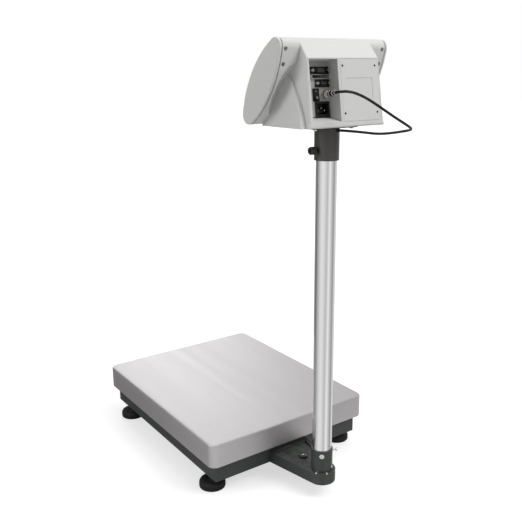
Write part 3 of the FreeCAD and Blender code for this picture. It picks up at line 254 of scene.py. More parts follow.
# finish of every slot: colour, tone scale and contrast, roughness range, relief (scale, depth, strength),
# rounding seen at edges, worn colour and amount, dust, stretch of the grain
finishes = {
    "frame_paint": {"color": (0.042, 0.047, 0.044), "tone": (420, 0.25), "rough": (0.38, 0.52),
        "relief": (700, 6e-5, 0.35), "edge": 0.0008, "worn": ((0.16, 0.165, 0.16), 0.5), "dust": 0.12},
    "sleeve_paint": {"color": (0.062, 0.057, 0.053), "tone": (500, 0.25), "rough": (0.36, 0.5),
        "relief": (900, 5e-5, 0.35), "edge": 0.0008, "worn": ((0.2, 0.19, 0.18), 0.5), "dust": 0.08},
    "platter_steel": {"color": (0.55, 0.533, 0.545), "tone": (260, 0.07), "rough": (0.46, 0.56),
        "relief": (600, 1.2e-5, 0.3), "edge": 0.0006, "worn": ((0.74, 0.74, 0.74), 0.3), "dust": 0.04,
        "metal": 0.9, "stretch": (1, 0.03, 1)},
    "column_metal": {"color": (0.78, 0.78, 0.785), "tone": (700, 0.08), "rough": (0.16, 0.26),
        "relief": (900, 1e-5, 0.3), "edge": 0.0004, "worn": ((0.9, 0.9, 0.9), 0.2), "dust": 0,
        "metal": 1, "stretch": (1, 1, 0.02)},
    "cell_alloy": {"color": (0.62, 0.63, 0.64), "tone": (300, 0.12), "rough": (0.28, 0.42),
        "relief": (600, 2e-5, 0.3), "edge": 0.0005, "worn": ((0.8, 0.8, 0.8), 0.4), "dust": 0.1,
        "metal": 1, "stretch": (1, 0.05, 1)},
    "plated_steel": {"color": (0.74, 0.73, 0.71), "tone": (400, 0.15), "rough": (0.14, 0.28),
        "relief": (900, 2e-5, 0.3), "edge": 0.0003, "worn": ((0.85, 0.84, 0.82), 0.4), "dust": 0.06,
        "metal": 1},
    "spider_paint": {"color": (0.06, 0.065, 0.062), "tone": (420, 0.25), "rough": (0.42, 0.56),
        "relief": (700, 6e-5, 0.35), "edge": 0.0008, "worn": ((0.18, 0.18, 0.18), 0.5), "dust": 0.1},
    "blackened_steel": {"color": (0.005, 0.005, 0.005), "tone": (900, 0.5), "rough": (0.45, 0.6),
        "relief": (1600, 2e-5, 0.3), "edge": 0.0002, "worn": ((0.03, 0.03, 0.03), 0.4), "dust": 0,
        "shine": 0.15},
    "plate_satin": {"color": (0.46, 0.46, 0.45), "tone": (600, 0.12), "rough": (0.42, 0.58),
        "relief": (900, 2e-5, 0.3), "edge": 0.0004, "worn": ((0.5, 0.5, 0.49), 0.3), "dust": 0.03,
        "metal": 0.35, "stretch": (0.05, 1, 1)},
    "black_rubber": {"color": (0.009, 0.009, 0.009), "tone": (350, 0.5), "rough": (0.55, 0.75),
        "relief": (900, 8e-5, 0.5), "edge": 0.0008, "worn": ((0.035, 0.035, 0.035), 0.6), "dust": 0.05,
        "shine": 0.3},
    "knob_black": {"color": (0.02, 0.02, 0.021), "tone": (500, 0.4), "rough": (0.35, 0.5),
        "relief": (1500, 4e-5, 0.4), "edge": 0.0005, "worn": ((0.09, 0.09, 0.09), 0.5), "dust": 0.08},
    "housing_plastic": {"color": (0.71, 0.71, 0.695), "tone": (900, 0.05), "rough": (0.42, 0.54),
        "relief": (2400, 4e-5, 0.35), "edge": 0.0005, "worn": ((0.76, 0.76, 0.745), 0.3), "dust": 0.04},
    "panel_film": {"color": (0.12, 0.18, 0.28), "tone": (1200, 0.06), "rough": (0.3, 0.4),
        "relief": (2600, 2e-5, 0.3), "edge": 0.0003, "worn": ((0.2, 0.26, 0.36), 0.2), "dust": 0.03},
    "key_plastic": {"color": (0.74, 0.74, 0.72), "tone": (1200, 0.06), "rough": (0.35, 0.48),
        "relief": (2600, 3e-5, 0.3), "edge": 0.0006, "worn": ((0.8, 0.8, 0.78), 0.3), "dust": 0.03},
    "display_glass": {"color": (0.32, 0.38, 0.27), "tone": (60, 0.08), "rough": (0.12, 0.2),
        "relief": (900, 5e-6, 0.2), "edge": 0.0003, "worn": ((0.3, 0.34, 0.28), 0.1), "dust": 0},
    "board_green": {"color": (0.02, 0.16, 0.06), "tone": (320, 0.5), "rough": (0.3, 0.45),
        "relief": (500, 4e-5, 0.4), "edge": 0.0003, "worn": ((0.3, 0.3, 0.18), 0.4), "dust": 0.05},
    "battery_case": {"color": (0.05, 0.05, 0.055), "tone": (600, 0.3), "rough": (0.4, 0.55),
        "relief": (1500, 3e-5, 0.4), "edge": 0.0008, "worn": ((0.14, 0.14, 0.15), 0.4), "dust": 0.08},
    "connector_metal": {"color": (0.6, 0.585, 0.555), "tone": (700, 0.25), "rough": (0.18, 0.34),
        "relief": (1200, 1.5e-5, 0.3), "edge": 0.0003, "worn": ((0.9, 0.88, 0.84), 0.4), "dust": 0.02,
        "metal": 1},
    "black_plastic": {"color": (0.006, 0.006, 0.006), "tone": (900, 0.4), "rough": (0.3, 0.46),
        "relief": (2200, 4e-5, 0.4), "edge": 0.0003, "worn": ((0.04, 0.04, 0.04), 0.4), "dust": 0.01,
        "shine": 0.3},
    "level_brass": {"color": (0.025, 0.025, 0.024), "tone": (700, 0.3), "rough": (0.3, 0.45),
        "relief": (1500, 2e-5, 0.3), "edge": 0.0003, "worn": ((0.5, 0.42, 0.24), 0.5), "dust": 0.04},
}

roughScale = 30


def makeFinish(name, finish):
    material = bpy.data.materials.new(name)
    material.use_nodes = True
    tree = material.node_tree
    link = tree.links.new
    shader = tree.nodes["Principled BSDF"]
    shader.inputs["Metallic"].default_value = finish.get("metal", 0)
    shader.inputs["Specular IOR Level"].default_value = finish.get("shine", 0.5)
    stretch = finish.get("stretch", (1, 1, 1))

    def placed(group, inputs):
        node = tree.nodes.new("ShaderNodeGroup")
        node.node_tree = group
        for key, value in inputs.items():
            node.inputs[key].default_value = value
        return node

    toneScale, contrast = finish["tone"]
    wornColor, wornAmount = finish["worn"]
    low, high = finish["rough"]
    scale, depth, strength = finish["relief"]
    tone = placed(mottle, {"Color": (*finish["color"], 1), "Scale": toneScale, "Contrast": contrast,
                           "Stretch": stretch})
    wear = placed(edgeWear, {"Worn Color": (*wornColor, 1), "Amount": wornAmount, "Width": finish["edge"]})
    film = placed(dust, {"Amount": finish["dust"]})
    spread = placed(roughSpread, {"Low": low, "High": high, "Scale": roughScale, "Stretch": stretch})
    bumps = placed(relief, {"Scale": scale, "Depth": depth, "Strength": strength,
                            "Edge Radius": finish["edge"], "Stretch": stretch})
    link(tone.outputs["Color"], wear.inputs["Color"])
    link(wear.outputs["Color"], film.inputs["Color"])
    link(film.outputs["Color"], shader.inputs["Base Color"])
    link(spread.outputs["Roughness"], shader.inputs["Roughness"])
    link(bumps.outputs["Normal"], shader.inputs["Normal"])
    return material


def makeClear(name, color, roughness, ior):
    material = bpy.data.materials.new(name)
    material.use_nodes = True
    tree = material.node_tree
    link = tree.links.new
    shader = tree.nodes["Principled BSDF"]
    shader.inputs["Transmission Weight"].default_value = 1
    shader.inputs["IOR"].default_value = ior
    place = addNode(tree, "TexCoord")
    haze = addNode(tree, "TexNoise", {"Scale": 160, "Detail": 5})
    rough = addNode(tree, "MapRange", {"To Min": roughness * 0.5, "To Max": roughness * 1.6})
    tint = addNode(tree, "MapRange", {"To Min": 0.92, "To Max": 1.0})
    toned = addNode(tree, "VectorMath", {0: color}, operation="SCALE")
    link(place.outputs["Object"], haze.inputs["Vector"])
    link(haze.outputs["Fac"], rough.inputs["Value"])
    link(haze.outputs["Fac"], tint.inputs["Value"])
    link(tint.outputs[0], toned.inputs["Scale"])
    link(toned.outputs[0], shader.inputs["Base Color"])
    link(rough.outputs[0], shader.inputs["Roughness"])
    return material


materials = {name: makeFinish(name, finish) for name, finish in finishes.items()}
materials["window_clear"] = makeClear("window_clear", (0.93, 0.96, 0.95), 0.05, 1.49)
materials["level_clear"] = makeClear("level_clear", (0.93, 0.96, 0.80), 0.03, 1.45)
for node, thing in frame["nodes"].items():
    thing.data.materials.clear()
    thing.data.materials.append(materials[slotOf[node]])
print("materials:", len(materials))


# ---- modelling helpers
def deselectAll():
    if bpy.context.object and bpy.context.object.mode != "OBJECT":
        bpy.ops.object.mode_set(mode="OBJECT")
    bpy.ops.object.select_all(action="DESELECT")


def start(kind, **settings):
    deselectAll()
    getattr(bpy.ops.mesh, "primitive_%s_add" % kind)(**settings)
    bpy.ops.object.transform_apply(location=True, rotation=True, scale=True)
    bpy.ops.object.mode_set(mode="EDIT")
    return bpy.context.object


def pickFaces(shape, wanted):
    bpy.ops.mesh.select_mode(type="FACE")
    bpy.ops.mesh.select_all(action="DESELECT")
    mesh = bmesh.from_edit_mesh(shape.data)
    for face in mesh.faces:
        face.select_set(bool(wanted(face.calc_center_median(), face.normal)))
    mesh.select_flush_mode()
    bmesh.update_edit_mesh(shape.data)


def pickEdges(shape, wanted):
    bpy.ops.mesh.select_mode(type="EDGE")
    bpy.ops.mesh.select_all(action="DESELECT")
    mesh = bmesh.from_edit_mesh(shape.data)
    for edge in mesh.edges:
        first, second = (vertex.co for vertex in edge.verts)
        edge.select_set(bool(wanted((first + second) / 2, (second - first).normalized())))
    mesh.select_flush_mode()
    bmesh.update_edit_mesh(shape.data)


def slide(x=0, y=0, z=0):
    bpy.ops.transform.translate(value=(x, y, z))


def extrude(x=0, y=0, z=0):
    bpy.ops.mesh.extrude_region_move(TRANSFORM_OT_translate={"value": (x, y, z)})


def turned(steps, sides=48):
    radius, height = steps[0]
    shape = start("circle", vertices=sides, radius=radius, fill_type="NGON", location=(0, 0, height))
    bpy.ops.mesh.select_all(action="SELECT")
    for nextRadius, nextHeight in steps[1:]:
        extrude(z=nextHeight - height)
        if nextRadius != radius:
            ratio = nextRadius / radius
            bpy.ops.transform.resize(value=(ratio, ratio, 1), center_override=(0, 0, nextHeight))
        radius, height = nextRadius, nextHeight
    return shape


def smoothEdges(shape, width, segments=3, angle=30):
    bpy.ops.object.mode_set(mode="OBJECT")
    rounding = shape.modifiers.new("rounding", "BEVEL")
    rounding.width = width
    rounding.segments = segments
    rounding.limit_method = "ANGLE"
    rounding.angle_limit = math.radians(angle)
    bpy.ops.object.modifier_apply(modifier="rounding")


def finishPiece(shape, name, slotName, body, place=None, stands=()):
    if shape.mode != "OBJECT":
        bpy.ops.object.mode_set(mode="OBJECT")
    deselectAll()
    shape.select_set(True)
    bpy.context.view_layer.objects.active = shape
    shape.name = name
    shape.data.name = name
    if place is not None:
        shape.matrix_world = place @ shape.matrix_world
    bpy.ops.object.transform_apply(location=True, rotation=True, scale=True)
    bpy.ops.object.mode_set(mode="EDIT")
    bpy.ops.mesh.select_all(action="SELECT")
    bpy.ops.mesh.remove_doubles(threshold=1e-6)
    bpy.ops.mesh.normals_make_consistent(inside=False)
    bpy.ops.object.mode_set(mode="OBJECT")
    bpy.ops.object.shade_smooth_by_angle(angle=math.radians(35))
    shape.data.materials.clear()
    shape.data.materials.append(materials[slotName])
    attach(shape, body)
    if stands:
        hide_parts(*stands)
    return shape


def joined(shapes):
    deselectAll()
    for shape in shapes:
        shape.select_set(True)
    bpy.context.view_layer.objects.active = shapes[0]
    if len(shapes) > 1:
        bpy.ops.object.join()
    return bpy.context.object


def placedCopy(shape, place):
    bpy.ops.object.mode_set(mode="OBJECT") if shape.mode != "OBJECT" else None
    copy = shape.copy()
    copy.data = shape.data.copy()
    bpy.context.scene.collection.objects.link(copy)
    copy.data.transform(place)
    return copy


# rear face of the head: X across, Y outwards, Z up from its top edge
rearFrame = Matrix.Translation((0, 0.300, 0.834)) @ Matrix.Rotation(math.radians(8), 4, "X")
outward = Matrix.Rotation(-quarter, 4, "X")      # turns a piece's Z towards the frame's Y


def rearPlace(x, y, z):
    return rearFrame @ Matrix.Translation(Vector((x, y, z)) * mm) @ outward


# ---- cable, from its plug round to the neck
cable = {"radius": 2.25, "plug": (28, 8, -56.5), "ahead": (28, 34, -56.5),
         "bends": ((15, 106, 774), (-6, 122, 757), (-31, 131, 740), (-58, 134, 726), (-80, 124, 718),
                   (-90, 102, 714), (-81, 80, 709.5), (-57, 68, 708), (-33, 60, 711.5)),
         "exitBearing": 104, "exitHeight": 714.2, "exitReach": (46.2, 23.2), "columnY": 260,
         "length": 0.318}


def makeCable():
    bearing = math.radians(cable["exitBearing"])
    route = [rearFrame @ (Vector(cable[key]) * mm) for key in ("plug", "ahead")]
    route += [Vector((x, y + cable["columnY"], z)) * mm for x, y, z in cable["bends"]]
    for reach in cable["exitReach"]:
        route.append(Vector((reach * math.cos(bearing), cable["columnY"] + reach * math.sin(bearing),
                             cable["exitHeight"])) * mm)
    curve = bpy.data.curves.new("signal_cable_lead", "CURVE")
    curve.dimensions = "3D"
    spline = curve.splines.new("NURBS")
    spline.points.add(len(route) - 1)
    for point, spot in zip(spline.points, route):
        point.co = (*spot, 1)
    spline.order_u = 3
    spline.use_endpoint_u = True
    spline.resolution_u = 14
    curve.bevel_depth = cable["radius"] * mm
    curve.bevel_resolution = 6
    curve.use_fill_caps = True
    lead = bpy.data.objects.new("signal_cable_lead", curve)
    bpy.context.scene.collection.objects.link(lead)
    curve.materials.append(materials["black_plastic"])
    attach(lead, "head")
    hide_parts("signal_cable")
    return lead, route


lead, route = makeCable()
print("cable laid")


# ---- connectors in the bay of the rear face; its plate stands 25 mm behind that face
def boxShape(low, high):
    low, high = Vector(low) * mm, Vector(high) * mm
    size = high - low
    shape = start("cube", size=1, location=(low + high) / 2, scale=size)
    return shape


dataPorts = {
    "connector_15_way": {"centre": (34.5, -17.2), "width": 39.2, "pitch": 33.3, "rows": (5, 5, 5),
                         "banded": True},
    "connector_9_way": {"centre": (30, -37.9), "width": 30.8, "pitch": 25, "rows": (5, 4), "banded": False},
}
portSizes = {"plateDepth": -25, "flange": 1, "flangeHeight": 12.5, "shellReach": 6.5, "shellHeight": 8.4,
             "wall": 0.55, "taper": 0.9, "insertReach": 5.4, "holeRadius": 0.55, "holePitch": 2.5,
             "rowPitch": 2.1, "postRadius": 2.7, "postReach": 6, "bandTop": 6.4, "bandLow": 13.6,
             "bandReach": 4.4, "ribs": 13}


def makeBand(x, z, width):
    back, ribs = portSizes["plateDepth"], portSizes["ribs"]
    low, high = z - portSizes["bandLow"], z - portSizes["bandTop"]
    band = boxShape((x - width / 2, back, low), (x + width / 2, back + portSizes["bandReach"], high))
    bpy.ops.mesh.select_all(action="DESELECT")
    pickFaces(band, lambda middle, normal: normal.y > 0.9)
    bpy.ops.mesh.inset(thickness=0.9 * mm)
    extrude(y=-0.8 * mm)
    bpy.ops.object.mode_set(mode="OBJECT")
    ridges = []
    pitch = (width - 4) / ribs
    for i in range(ribs):
        middle = x + (i - (ribs - 1) / 2) * pitch
        rib = boxShape((middle - pitch * 0.25, back + 1, low + 1.1),
                       (middle + pitch * 0.25, back + portSizes["bandReach"], high - 1.1))
        bpy.ops.object.mode_set(mode="OBJECT")
        ridges.append(rib)
    finishPiece(joined(ridges), "connector_15_way_ribs", "black_plastic", "head", rearFrame)
    return band


def makeDataPort(name, port):
    x, z = port["centre"]
    back = portSizes["plateDepth"]
    half, tall = port["width"] / 2, portSizes["flangeHeight"] / 2
    flange = boxShape((x - half, back, z - tall), (x + half, back + portSizes["flange"], z + tall))
    pickEdges(flange, lambda middle, way: abs(way.y) > 0.9)
    bpy.ops.mesh.bevel(offset=1.6 * mm, segments=4)
    bpy.ops.object.mode_set(mode="OBJECT")

    halfShell, tallShell = (port["pitch"] - 8) / 2, portSizes["shellHeight"] / 2
    reach = back + portSizes["shellReach"]
    shell = boxShape((x - halfShell, back, z - tallShell), (x + halfShell, reach, z + tallShell))
    pickFaces(shell, lambda middle, normal: normal.z < -0.9)
    bpy.ops.transform.resize(value=(portSizes["taper"], 1, 1))
    pickEdges(shell, lambda middle, way: abs(way.y) > 0.9)
    bpy.ops.mesh.bevel(offset=1.7 * mm, segments=4)
    pickFaces(shell, lambda middle, normal: normal.y > 0.9)
    bpy.ops.mesh.inset(thickness=portSizes["wall"] * mm)
    extrude(y=-(portSizes["shellReach"] - 0.6) * mm)
    bpy.ops.object.mode_set(mode="OBJECT")

    posts = []
    for side in (-1, 1):
        spot = Vector((x + side * port["pitch"] / 2, back + portSizes["postReach"] / 2, z))
        post = start("cylinder", vertices=6, radius=portSizes["postRadius"] * mm,
                     depth=portSizes["postReach"] * mm, location=spot * mm, rotation=(quarter, 0, 0))
        pickFaces(post, lambda middle, normal: normal.y > 0.9)
        bpy.ops.mesh.inset(thickness=0.5 * mm)
        bpy.ops.mesh.inset(thickness=0.7 * mm)
        extrude(y=-4 * mm)
        bpy.ops.object.mode_set(mode="OBJECT")
        posts.append(post)
    casing = joined([flange, shell])
    smoothEdges(casing, 0.15 * mm, 2)
    finishPiece(casing, name + "_shell", "black_plastic", "head", rearFrame, [name])
    if port["banded"]:
        posts.append(makeBand(x, z, port["width"]))
    metal = joined(posts)
    smoothEdges(metal, 0.15 * mm, 2)
    finishPiece(metal, name + "_posts", "connector_metal", "head", rearFrame)

    inner = portSizes["wall"] + 0.25
    insert = boxShape((x - halfShell + inner, back + 0.6, z - tallShell + inner),
                      (x + halfShell - inner, back + portSizes["insertReach"], z + tallShell - inner))
    pickFaces(insert, lambda middle, normal: normal.z < -0.9)
    bpy.ops.transform.resize(value=(portSizes["taper"], 1, 1))
    pickEdges(insert, lambda middle, way: abs(way.y) > 0.9)
    bpy.ops.mesh.bevel(offset=1.3 * mm, segments=3)
    bpy.ops.object.mode_set(mode="OBJECT")
    finishPiece(insert, name + "_insert", "black_plastic", "head", rearFrame)

    contacts = []
    rows = port["rows"]
    for i, count in enumerate(rows):
        for j in range(count):
            across = x + (j - (count - 1) / 2) * portSizes["holePitch"]
            up = z + ((len(rows) - 1) / 2 - i) * portSizes["rowPitch"]
            ring = start("circle", vertices=12, radius=portSizes["holeRadius"] * mm, fill_type="NGON",
                         location=Vector((across, back + portSizes["insertReach"], up)) * mm,
                         rotation=(-quarter, 0, 0))
            bpy.ops.mesh.select_all(action="SELECT")
            extrude(y=0.12 * mm)
            bpy.ops.mesh.inset(thickness=0.22 * mm)
            extrude(y=-0.9 * mm)
            bpy.ops.object.mode_set(mode="OBJECT")
            contacts.append(ring)
    finishPiece(joined(contacts), name + "_contacts", "connector_metal", "head", rearFrame)


for name, port in dataPorts.items():
    makeDataPort(name, port)

mains = {"centre": (33.5, -80), "flange": (30, 25, 2), "hollow": (24, 17), "cut": 4.2, "depth": 14,
         "pins": ((-7, -2), (7, -2), (0, 2)), "pinSize": (0.7, 1.6), "cornerInset": 4.6, "cornerRise": 4.1}


def makeMainsInlet():
    x, z = mains["centre"]
    wide, tall, proud = mains["flange"]
    back = portSizes["plateDepth"]
    body = boxShape((x - wide / 2, back, z - tall / 2), (x + wide / 2, back + proud, z + tall / 2))
    pickFaces(body, lambda middle, normal: normal.y < -0.9)
    bpy.ops.mesh.inset(thickness=2 * mm)
    extrude(y=-16 * mm)
    pickFaces(body, lambda middle, normal: normal.y > 0.9)
    bpy.ops.mesh.inset(thickness=(tall - mains["hollow"][1] - 1.2) / 2 * mm)
    extrude(y=0.6 * mm)
    bpy.ops.mesh.inset(thickness=0.6 * mm)
    extrude(y=-mains["depth"] * mm)
    pickEdges(body, lambda middle, way: abs(way.y) > 0.9 and abs(middle.x - x * mm) > (wide / 2 - 0.1) * mm)
    bpy.ops.mesh.bevel(offset=1.5 * mm, segments=4)
    bpy.ops.object.mode_set(mode="OBJECT")
    smoothEdges(body, 0.2 * mm, 2)
    finishPiece(body, "mains_inlet_body", "black_plastic", "head", rearFrame, ["mains_inlet"])
    corners = []
    for side in (-1, 1):        # the hollow's two lower corners are filled by sloping blocks
        cornerX = x + side * (wide / 2 - mains["cornerInset"])
        foot = z - tall / 2 + mains["cornerRise"]
        wedge = boxShape((cornerX - mains["cut"] / 2, back - 10, foot),
                         (cornerX + mains["cut"] / 2, back + 1.4, foot + mains["cut"]))
        pickEdges(wedge, lambda middle, way: abs(way.y) > 0.9 and middle.z > (foot + 0.9) * mm
                  and (middle.x - cornerX * mm) * side < 0)
        bpy.ops.mesh.bevel(offset=mains["cut"] * 0.9 * mm, segments=1)
        bpy.ops.object.mode_set(mode="OBJECT")
        corners.append(wedge)
    finishPiece(joined(corners), "mains_inlet_corners", "black_plastic", "head", rearFrame)
    pins = []
    halfPin, tallPin = mains["pinSize"]
    for across, up in mains["pins"]:
        pin = boxShape((x + across - halfPin, back - 13, z + up - tallPin),
                       (x + across + halfPin, back - 2, z + up + tallPin))
        pickFaces(pin, lambda middle, normal: normal.y > 0.9)
        bpy.ops.mesh.bevel(offset=0.5 * mm, segments=2, affect="EDGES")
        bpy.ops.object.mode_set(mode="OBJECT")
        pins.append(pin)
    finishPiece(joined(pins), "mains_inlet_pins", "connector_metal", "head", rearFrame)


makeMainsInlet()

rocker = {"centre": (45, -56.5), "size": (10, 7, 16.4), "tip": 10, "dish": 0.9}


def makeRocker():
    x, z = rocker["centre"]
    wide, deep, tall = rocker["size"]
    seat = rearFrame @ Matrix.Translation(Vector((x, portSizes["plateDepth"] - 1, z)) * mm)
    leaning = seat @ Matrix.Rotation(math.radians(rocker["tip"]), 4, "X")
    paddle = boxShape((-wide / 2, -deep / 2, -tall / 2), (wide / 2, deep / 2, tall / 2))
    bpy.ops.mesh.select_all(action="SELECT")
    bpy.ops.mesh.subdivide(number_cuts=7)
    pickFaces(paddle, lambda middle, normal: normal.y > 0.9 and abs(middle.z) < 3.2 * mm)
    slide(y=-rocker["dish"] * mm)
    bpy.ops.object.mode_set(mode="OBJECT")
    smoothEdges(paddle, 0.4 * mm, 3, 40)
    finishPiece(paddle, "power_rocker_paddle", "black_plastic", "power_rocker", leaning, ["power_rocker"])
    bar = boxShape((-0.4, deep / 2, 4.1), (0.4, deep / 2 + 0.08, 7))
    bpy.ops.object.mode_set(mode="OBJECT")
    ring = start("torus", major_radius=1.5 * mm, minor_radius=0.32 * mm, major_segments=32, minor_segments=8,
                 location=Vector((0, deep / 2 - 0.1, -5.4)) * mm, rotation=(quarter, 0, 0))
    bpy.ops.mesh.select_all(action="SELECT")
    bpy.ops.object.mode_set(mode="OBJECT")
    finishPiece(joined([bar, ring]), "power_rocker_marks", "key_plastic", "power_rocker", leaning)


makeRocker()

# plug on the round socket: (radius, distance out of the plate)
plug = {
    "centre": (28, -56.5),
    "nut": ((6.3, 2.05), (6.6, 2.4), (6.6, 5.2), (5.9, 5.2), (5.9, 6), (6.6, 6), (6.6, 9.6), (6.2, 10.2),
            (5.2, 10.2), (5.2, 11.6), (5.6, 11.8), (5.6, 13.4), (5.2, 13.8)),
    "grip": (6.2, 9.4), "panel": 9,
    "body": ((5.1, 13.8), (5.3, 14.4), (5.3, 21.4), (4.7, 22.4), (4.2, 22.6), (4.2, 24), (4.6, 24.2),
             (4.6, 25.4), (4.0, 25.6), (4.0, 26.8), (4.3, 27), (4.3, 28.2), (3.6, 28.4), (3.6, 29.6),
             (3.9, 29.8), (3.9, 31), (3.1, 31.3), (3.1, 32.4), (2.5, 33)),
    "rings": (((5.2, 14.6), (5.75, 15), (5.75, 18.6), (5.2, 19)),
              ((4.5, 23.9), (4.95, 24.2), (4.95, 25.6), (4.5, 25.9)),
              ((3.8, 29.4), (4.2, 29.7), (4.2, 31.2), (3.8, 31.5)))}


def makePlug():
    x, z = plug["centre"]
    low, high = plug["grip"]
    seat = rearPlace(x, portSizes["plateDepth"], z)
    nut = turned([(radius * mm, height * mm) for radius, height in plug["nut"]], 40)
    mesh = bmesh.from_edit_mesh(nut.data)
    bpy.ops.mesh.select_mode(type="FACE")
    bpy.ops.mesh.select_all(action="DESELECT")
    for face in mesh.faces:         # every second panel of the gripping ring stands proud
        middle = face.calc_center_median()
        bearing = math.degrees(math.atan2(middle.y, middle.x)) % 360
        onGrip = low * mm < middle.z < high * mm and abs(face.normal.z) < 0.3
        face.select_set(onGrip and int(bearing / plug["panel"]) % 2 == 0)
    bmesh.update_edit_mesh(nut.data)
    bpy.ops.mesh.inset(thickness=0.12 * mm, depth=-0.25 * mm, use_individual=True)
    bpy.ops.object.mode_set(mode="OBJECT")
    collar = finishPiece(nut, "cable_plug_nut", "connector_metal", "head", seat, ["cable_plug"])
    grip = turned([(radius * mm, height * mm) for radius, height in plug["body"]], 40)
    sleeve = finishPiece(grip, "cable_plug_body", "black_plastic", "head", seat)
    bands = []
    for profile in plug["rings"]:
        bands.append(turned([(radius * mm, height * mm) for radius, height in profile], 40))
        bpy.ops.object.mode_set(mode="OBJECT")
    rings = finishPiece(joined(bands), "cable_plug_rings", "connector_metal", "head", seat)
    return [collar, sleeve, rings]


plugPieces = makePlug()
print("connectors made")

# ---- clamp knob on the neck: fluted grip with a round stepped socket in its end, its axis along X
knob = {"axis": (0, 260, 680), "start": 26.7, "radius": 7, "length": 11, "flutes": 20, "stem": 3,
        "stemStart": 19.2}


def makeKnob():
    x, y, z = knob["axis"]
    seat = Matrix.Translation(Vector((x, y, z)) * mm) @ Matrix.Rotation(quarter, 4, "Y")
    first, last = knob["start"], knob["start"] + knob["length"]
    stem, wide = knob["stem"] * mm, knob["radius"] * mm
    grip = turned([(stem, knob["stemStart"] * mm), (stem, first * mm), (wide - 1 * mm, first * mm),
                   (wide, (first + 1) * mm), (wide, (last - 1.2) * mm), (wide - 0.8 * mm, last * mm)],
                  knob["flutes"] * 2)
    bpy.ops.mesh.inset(thickness=1.8 * mm)
    extrude(z=-0.5 * mm)
    bpy.ops.mesh.inset(thickness=1.6 * mm)
    extrude(z=-3 * mm)
    mesh = bmesh.from_edit_mesh(grip.data)
    bpy.ops.mesh.select_all(action="DESELECT")
    for face in mesh.faces:
        middle = face.calc_center_median()
        bearing = math.degrees(math.atan2(middle.y, middle.x)) % 360
        onSide = (first + 1.2) * mm < middle.z < (last - 1.4) * mm and abs(face.normal.z) < 0.3
        face.select_set(onSide and int(bearing / (180 / knob["flutes"])) % 2 == 0)
    bmesh.update_edit_mesh(grip.data)
    bpy.ops.mesh.inset(thickness=0.2 * mm, depth=-0.55 * mm, use_individual=True)
    bpy.ops.object.mode_set(mode="OBJECT")
    smoothEdges(grip, 0.18 * mm, 2, 40)
    finishPiece(grip, "clamp_knob_grip", "knob_black", "clamp_knob", seat, ["clamp_knob"])


makeKnob()

# ---- levelling feet: pad with a ribbed side, and the threaded stud above it
foot = {"spread": (165, 188), "middle": -75, "corners": {"left_rear": (1, 1), "right_rear": (-1, 1),
                                                          "left_front": (1, -1), "right_front": (-1, -1)},
        "pad": ((24.5, 0), (26.4, 0.6), (27, 2), (27, 3.6), (26.3, 4.1), (26.3, 4.9), (27, 5.4), (27, 9),
                (26.4, 11.6), (24.6, 14.4), (21.6, 16.3), (18, 17), (12.5, 17), (11.8, 16.2), (7.6, 16.2),
                (7.2, 16.9), (5.1, 16.9)),
        "thread": {"core": 4.45, "crest": 5, "pitch": 1.5, "start": 9, "top": 58, "grip": (17.05, 20.05),
                   "gripRadius": 7}}


def makeFeet():
    thread = foot["thread"]
    steps = [(thread["core"] * mm, thread["start"] * mm), (thread["core"] * mm, thread["grip"][1] * mm)]
    height = thread["grip"][1]
    while height < thread["top"] - thread["pitch"]:
        steps += [(thread["crest"] * mm, (height + 0.6) * mm), (thread["crest"] * mm, (height + 0.8) * mm),
                  (thread["core"] * mm, (height + 1.4) * mm)]
        height += thread["pitch"]
    steps += [(thread["crest"] * 0.8 * mm, thread["top"] * mm)]
    for corner, (sideX, sideY) in foot["corners"].items():
        acrossSpread, alongSpread = foot["spread"]
        spot = Vector((sideX * acrossSpread, foot["middle"] + sideY * alongSpread, 0))
        seat = Matrix.Translation(spot * mm)
        pad = turned([(radius * mm, height * mm) for radius, height in foot["pad"]], 64)
        finishPiece(pad, "foot_pad_%s_rubber" % corner, "black_rubber", "foot_pad_" + corner, seat,
                    ["foot_pad_" + corner])
        stem = turned(steps, 24)
        bpy.ops.object.mode_set(mode="OBJECT")
        low, high = thread["grip"]
        grip = start("cylinder", vertices=6, radius=thread["gripRadius"] * mm, depth=(high - low) * mm,
                     location=(0, 0, (low + high) / 2 * mm))
        bpy.ops.object.mode_set(mode="OBJECT")
        smoothEdges(grip, 0.4 * mm, 3)
        finishPiece(joined([stem, grip]), "foot_stud_%s_thread" % corner, "plated_steel",
                    "foot_stud_" + corner, seat, ["foot_stud_" + corner])


makeFeet()
print("knob and feet made")

# ---- bubble level: dark rim, clear vial with its bubble and a centring ring
level = {"centre": (0, 202), "rim": ((9, 50), (9, 55.2), (8.3, 56), (7.3, 56), (6.8, 55.5), (6.8, 51.5)),
         "vial": ((6.7, 51.6), (6.7, 54.6), (6.2, 55.1), (4, 55.4), (1, 55.5)), "top": 55.5,
         "bubble": 1.9, "bubbleSpot": (0.6, -0.4), "ring": 2.7, "ringWire": 0.14}


